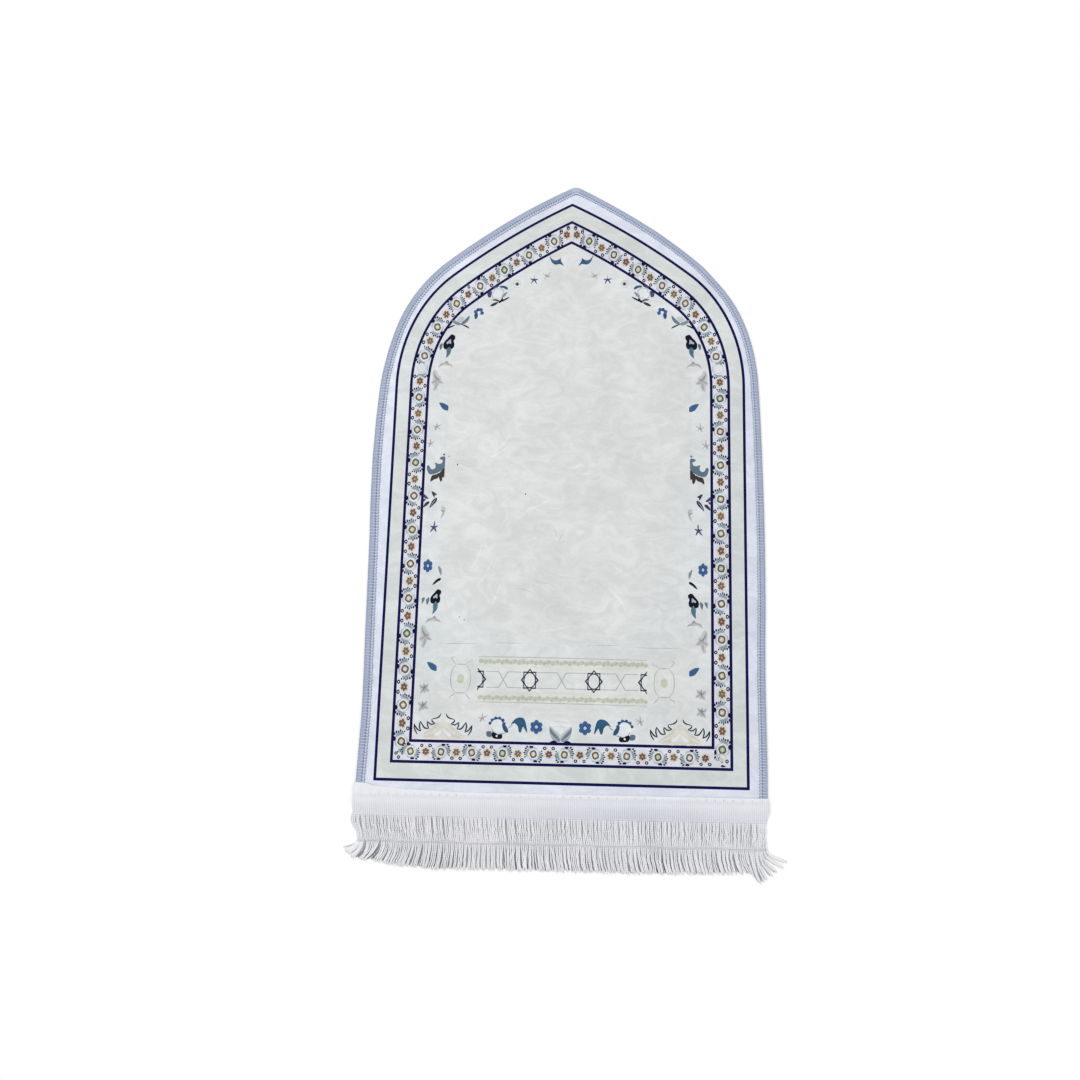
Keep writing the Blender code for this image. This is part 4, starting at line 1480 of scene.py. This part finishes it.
def yarns(number, offset, radius, level, seed, under=False):
    """One layer of yarns: they leave the header, pass the stitch row and lie out to their cut ends.

    The upper layer lies in pairs. The layer under it is even, and a little shorter.
    """
    rng = np.random.default_rng(seed)
    share = (np.arange(number) + offset) / number
    shares, *paths = np.array(STRAND_PATHS).T
    row_x, end_x, end_y = (np.interp(share, shares, path) for path in paths)
    root_x = HEADER_LEFT + share * (HEADER_RIGHT - HEADER_LEFT)
    root_y = trim_line(HEADER_END + 3.0, root_x)
    row_y = trim_line(ROW_Y, row_x)
    end_y = end_y + rng.normal(0.0, END_UNEVEN, number) + (UNDER_SHORTER if under else 0.0)

    along = np.linspace(0.0, 1.0, YARN_STATIONS)
    upper = np.clip(along / 0.5, 0.0, 1.0)
    lower = np.clip((along - 0.5) / 0.5, 0.0, 1.0)
    x = root_x[:, None] + (row_x - root_x)[:, None] * upper ** 1.3
    x += np.exp(-share / 0.012)[:, None] * np.interp(upper, *LEFT_BULGE)
    x += (end_x - row_x)[:, None] * (lower - 0.3 * np.sin(math.pi * lower))
    y = root_y[:, None] + (row_y - root_y)[:, None] * upper
    y += (end_y - row_y)[:, None] * lower
    loose = wander(rng, number)
    z = level + rng.normal(0.0, 0.12, x.shape)
    if under:
        patchy = 0.85 + 0.25 * np.sin(root_x * 0.045 + 1.0) * np.sin(root_x * 0.0131)
        patchy *= np.clip(np.minimum(share - 0.004, 0.99 - share) / 0.012, 0.3, 1.0)
        shade = patchy[:, None] * np.interp(along, *UNDER_SHADE)
    else:
        shade = np.zeros(x.shape)
        x += loose * np.interp(along, *WANDER_FREE)
        upper_lock = locks(rng, number)
        lower_lock = locks(rng, number)
        for lock, pull in ((upper_lock, UPPER_PULL), (lower_lock, LOWER_PULL)):
            strength = np.interp(along, *pull) * rng.uniform(0.4, 1.3, number)[lock][:, None]
            x += (lock_middles(x, lock) - x) * np.clip(strength, 0.0, 0.8)
        x += rng.normal(0.0, 0.55, number)[upper_lock][:, None] * np.sin(math.pi * upper) * (lower == 0.0)
        x += rng.normal(0.0, 0.75, number)[lower_lock][:, None] * lower
        x = parted(x, row_x, along)
        z -= np.interp(along, *YARN_SINK)
    thick = radius * rng.normal(1.0, 0.06, (number, 1)) * np.ones(YARN_STATIONS)
    if not under:
        at_ends = 3.0 * np.exp(-share / 0.009) + 1.4 * np.exp(-(1.0 - share) / 0.02)
        thick *= 1.0 + at_ends[:, None] * np.sqrt(lower)
    thick[:, -1] *= 0.6
    return np.stack([x, y, np.maximum(z, radius)], axis=-1), thick, shade


def yarn_object():
    """Both layers of yarns, as one piece that lies on the floor."""
    layers = (
        yarns(STRANDS, offset=0.5, radius=0.95, level=1.75, seed=11),
        yarns(STRANDS, offset=0.0, radius=0.8, level=0.85, seed=12, under=True),
    )
    centres, thick, shade = (np.vstack(values) for values in zip(*layers))
    points, *rest = tubes(centres, (1.0, 0.0, 0.0), thick * 1.15, np.minimum(thick, 1.3), YARN_SIDES)
    points[:, 2] = np.maximum(points[:, 2], 0.0)
    return thread_piece("fringe_yarns", "fringe_yarn", points, *rest, np.repeat(shade, YARN_SIDES, axis=1))


def chain_object():
    """The chain-stitch row that holds the yarns: a loop every few millimetres."""
    left, right = STRAND_PATHS[0][1] + 2.0, STRAND_PATHS[-1][1] - 4.0
    pitch = (right - left) / CHAIN_LOOPS
    turns = np.linspace(0.0, 2.0 * math.pi, 13)
    starts = left + np.arange(CHAIN_LOOPS)[:, None] * pitch
    x = starts + pitch * (0.5 - CHAIN_OVERLAP * np.cos(turns))
    y = CHAIN_HALF_WIDE * np.sin(turns) + trim_line(ROW_Y, x) + 0.6 * np.sin(x * 0.061)
    z = CHAIN_LEVEL - 0.3 * np.cos(turns) * np.ones_like(x)
    mesh = tubes(np.stack([x, y, z], axis=-1), (0.0, 0.0, 1.0), CHAIN_RADIUS, CHAIN_RADIUS, CHAIN_SIDES)
    return thread_piece("chain_row", "stitch_thread", *mesh, np.zeros(len(mesh[0])))


# ---------------------------------------------------------------- materials

class Finish:
    """A material's node tree, with short calls for the nodes used here."""

    def __init__(self, name):
        self.material = bpy.data.materials.new(name)
        self.material.use_nodes = True
        self.nodes = self.material.node_tree.nodes
        self.links = self.material.node_tree.links
        self.shader = self.nodes["Principled BSDF"]
        self.feed(self.shader, {"Metallic": 0.0})

    def feed(self, node, inputs):
        """Sets a node's sockets, each to a value or to another node's output."""
        for socket, value in inputs.items():
            if isinstance(value, bpy.types.NodeSocket):
                self.links.new(value, node.inputs[socket])
            else:
                node.inputs[socket].default_value = value

    def add(self, kind, output, inputs, **settings):
        """One output of a new node."""
        node = self.nodes.new(kind)
        for name, value in settings.items():
            setattr(node, name, value)
        self.feed(node, inputs)
        return node.outputs[output]

    def coordinates(self):
        return self.add("ShaderNodeTexCoord", "Object", {})

    def attribute(self, name, output):
        return self.add("ShaderNodeAttribute", output, {}, attribute_name=name)

    def stretched(self, source, scale, turn):
        inputs = {"Vector": source, "Scale": scale, "Rotation": (0.0, 0.0, math.radians(turn))}
        return self.add("ShaderNodeMapping", "Vector", inputs)

    def noise(self, source, scale, detail=2.0, roughness=0.5, distortion=0.0):
        inputs = {"Vector": source, "Scale": scale, "Detail": detail, "Roughness": roughness}
        return self.add("ShaderNodeTexNoise", "Fac", {**inputs, "Distortion": distortion})

    def ramp(self, source, low, high, first, last):
        """Maps source from low..high to first..last, smoothly."""
        inputs = {"Value": source, "From Min": low, "From Max": high, "To Min": first, "To Max": last}
        return self.add("ShaderNodeMapRange", "Result", inputs, interpolation_type="SMOOTHSTEP")

    def maths(self, first, operation, second=0.0):
        return self.add("ShaderNodeMath", "Value", {0: first, 1: second}, operation=operation)

    def tint(self, color, factor):
        """color multiplied by a grey factor."""
        inputs = {"Vector": color, "Scale": factor}
        return self.add("ShaderNodeVectorMath", "Vector", inputs, operation="SCALE")

    def mixed(self, factor, first, second):
        """first where the factor is 0 and second where it is 1."""
        inputs = {"Factor": factor, 6: first, 7: second}
        return self.add("ShaderNodeMix", 2, inputs, data_type="RGBA")

    def bump(self, height, distance):
        inputs = {"Height": height, "Distance": distance, "Strength": 0.7}
        return self.add("ShaderNodeBump", "Normal", inputs)


def printed_velvet():
    """Short crushed pile: the print, soft mottling, brush streaks that also paint lighter and darker sheen,
    and a fine speckle.
    """
    finish = Finish("printed_velvet")
    place = finish.coordinates()
    mottle = finish.ramp(finish.noise(place, 14.0, 3.0), 0.3, 0.7, 0.882, 0.953)
    streaks = finish.noise(finish.stretched(place, (22.0, 34.0, 1.0), 38.0), 1.0, 5.0, 0.65, 1.6)
    # Painted sheen: the streaks make the pile's colour lighter and darker.
    streak_sheen = finish.ramp(streaks, 0.36, 0.68, 0.940, 1.055)
    speckle = finish.noise(place, 620.0)
    grain = finish.ramp(speckle, 0.25, 0.75, 0.95, 1.04)
    factor = finish.maths(finish.maths(mottle, "MULTIPLY", streak_sheen), "MULTIPLY", grain)
    pile = finish.maths(finish.maths(speckle, "MULTIPLY", 0.5), "ADD", streaks)
    finish.feed(finish.shader, {
        "Base Color": finish.tint(finish.attribute("print", "Color"), factor),
        "Normal": finish.bump(pile, 0.0005),
        "Roughness": 0.9,
        "Sheen Weight": 0.06,
        "Sheen Roughness": 0.5,
        "Specular IOR Level": 0.15,
    })
    return finish.material


# Spun threads. Each row: color, darker color, color in deep shade, length of a ply's turn, roughness.
THREADS = {
    "overlock_thread": ((0.60, 0.66, 0.84), (0.55, 0.62, 0.77), (0.10, 0.14, 0.24), 1.4, 0.65),
    "fringe_yarn": ((0.83, 0.83, 0.86), (0.76, 0.77, 0.80), (0.075, 0.078, 0.09), 2.6, 0.8),
    "header_weave": ((0.82, 0.83, 0.87), (0.78, 0.79, 0.82), (0.24, 0.27, 0.38), 1.1, 0.8),
    "stitch_thread": ((0.80, 0.80, 0.84), (0.74, 0.74, 0.79), (0.3, 0.3, 0.3), 1.0, 0.7),
}


def thread_finish(name):
    """Spun thread: fine plies that run slantwise round it with painted shade in their grooves, a slow change
    of tone, and painted deep shade.
    """
    color, dark, deep, ply, roughness = THREADS[name]
    finish = Finish(name)
    on_thread = {"Vector": finish.attribute("place", "Vector")}
    along, aside = (finish.add("ShaderNodeSeparateXYZ", axis, on_thread) for axis in "XY")
    slant = finish.maths(finish.maths(along, "MULTIPLY", 1.0 / ply), "ADD", aside)
    wave = finish.maths(finish.maths(slant, "MULTIPLY", 2.0 * math.pi), "SINE")
    plies = finish.ramp(wave, -1.0, 1.0, 0.0, 1.0)
    place = finish.coordinates()
    tone = finish.ramp(finish.noise(place, 22.0, 3.0), 0.3, 0.7, 0.0, 1.0)
    lit = finish.mixed(tone, (*color, 1.0), (*dark, 1.0))
    # Painted shade and highlight: each ply is lighter on its crest and darker in its groove.
    lit = finish.tint(lit, finish.ramp(plies, 0.0, 1.0, 0.9, 1.04))
    fuzz = finish.maths(finish.noise(place, 2400.0), "MULTIPLY", 0.6)
    finish.feed(finish.shader, {
        "Base Color": finish.mixed(finish.attribute("shade", "Fac"), lit, (*deep, 1.0)),
        "Normal": finish.bump(finish.maths(plies, "ADD", fuzz), 0.00012),
        "Roughness": roughness,
        "Sheen Weight": 0.1,
        "Sheen Roughness": 0.5,
    })
    return finish.material


# ---------------------------------------------------------------- surroundings

WORLD_STRENGTH = 0.85
FLOOR_TONE = 0.95
FLOOR_HALF = 6.0
FLOOR_LEVEL = -0.0002
# Square lights that face the rug's middle. Each row: name, place, size and power.
LIGHTS = (
    ("key", (-1.6, 1.6, 2.2), 1.6, 30.0),
    ("fill", (1.8, -1.4, 2.4), 2.0, 12.0),
)


def make_floor():
    mesh = bpy.data.meshes.new("floor")
    corners = box(-FLOOR_HALF, -FLOOR_HALF, FLOOR_HALF, FLOOR_HALF)
    mesh.from_pydata([(x, y, 0.0) for x, y in corners], [], [(0, 1, 2, 3)])
    finish = Finish("floor_white")
    finish.feed(finish.shader, {"Roughness": 0.9, "Base Color": (FLOOR_TONE, FLOOR_TONE, FLOOR_TONE, 1.0)})
    mesh.materials.append(finish.material)
    floor = linked("floor", mesh)
    floor.location.z = FLOOR_LEVEL


def make_lights():
    for name, place, size, power in LIGHTS:
        data = bpy.data.lights.new(name, "AREA")
        data.shape = "SQUARE"
        data.size = size
        data.energy = power
        light = linked(name, data)
        light.location = place
        light.rotation_euler = (-Vector(place)).to_track_quat("-Z", "Y").to_euler()
    world = bpy.data.worlds.new("studio")
    world.use_nodes = True
    background = world.node_tree.nodes["Background"]
    background.inputs["Color"].default_value = (1.0, 1.0, 1.0, 1.0)
    background.inputs["Strength"].default_value = WORLD_STRENGTH
    bpy.context.scene.world = world
    bpy.context.scene.view_settings.view_transform = "Standard"


def make_camera():
    data = bpy.data.cameras.new("photograph")
    data.lens = CAMERA_LENS
    data.sensor_width = CAMERA_SENSOR
    camera = linked("photograph", data)
    camera.location = (np.array(CAMERA_PLACE) + SHIFT) * MM
    camera.rotation_euler = Euler([math.radians(a) for a in CAMERA_TURN], "XYZ")
    bpy.context.scene.camera = camera


# ---------------------------------------------------------------- build

SHIFT = shift()


def build():
    edge = edge_path()
    cloth = cloth_object(edge)
    binding = binding_bars(edge)
    header = header_object()
    fringe = yarn_object()
    chain = chain_object()
    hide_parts("rug_cloth")
    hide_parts("edge_binding")
    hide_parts("fringe")
    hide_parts("fringe")
    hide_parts("retaining_stitch")
    outline = inset(edge, EDGE_INSET) * MM
    make_floor()
    make_lights()
    make_camera()


build()
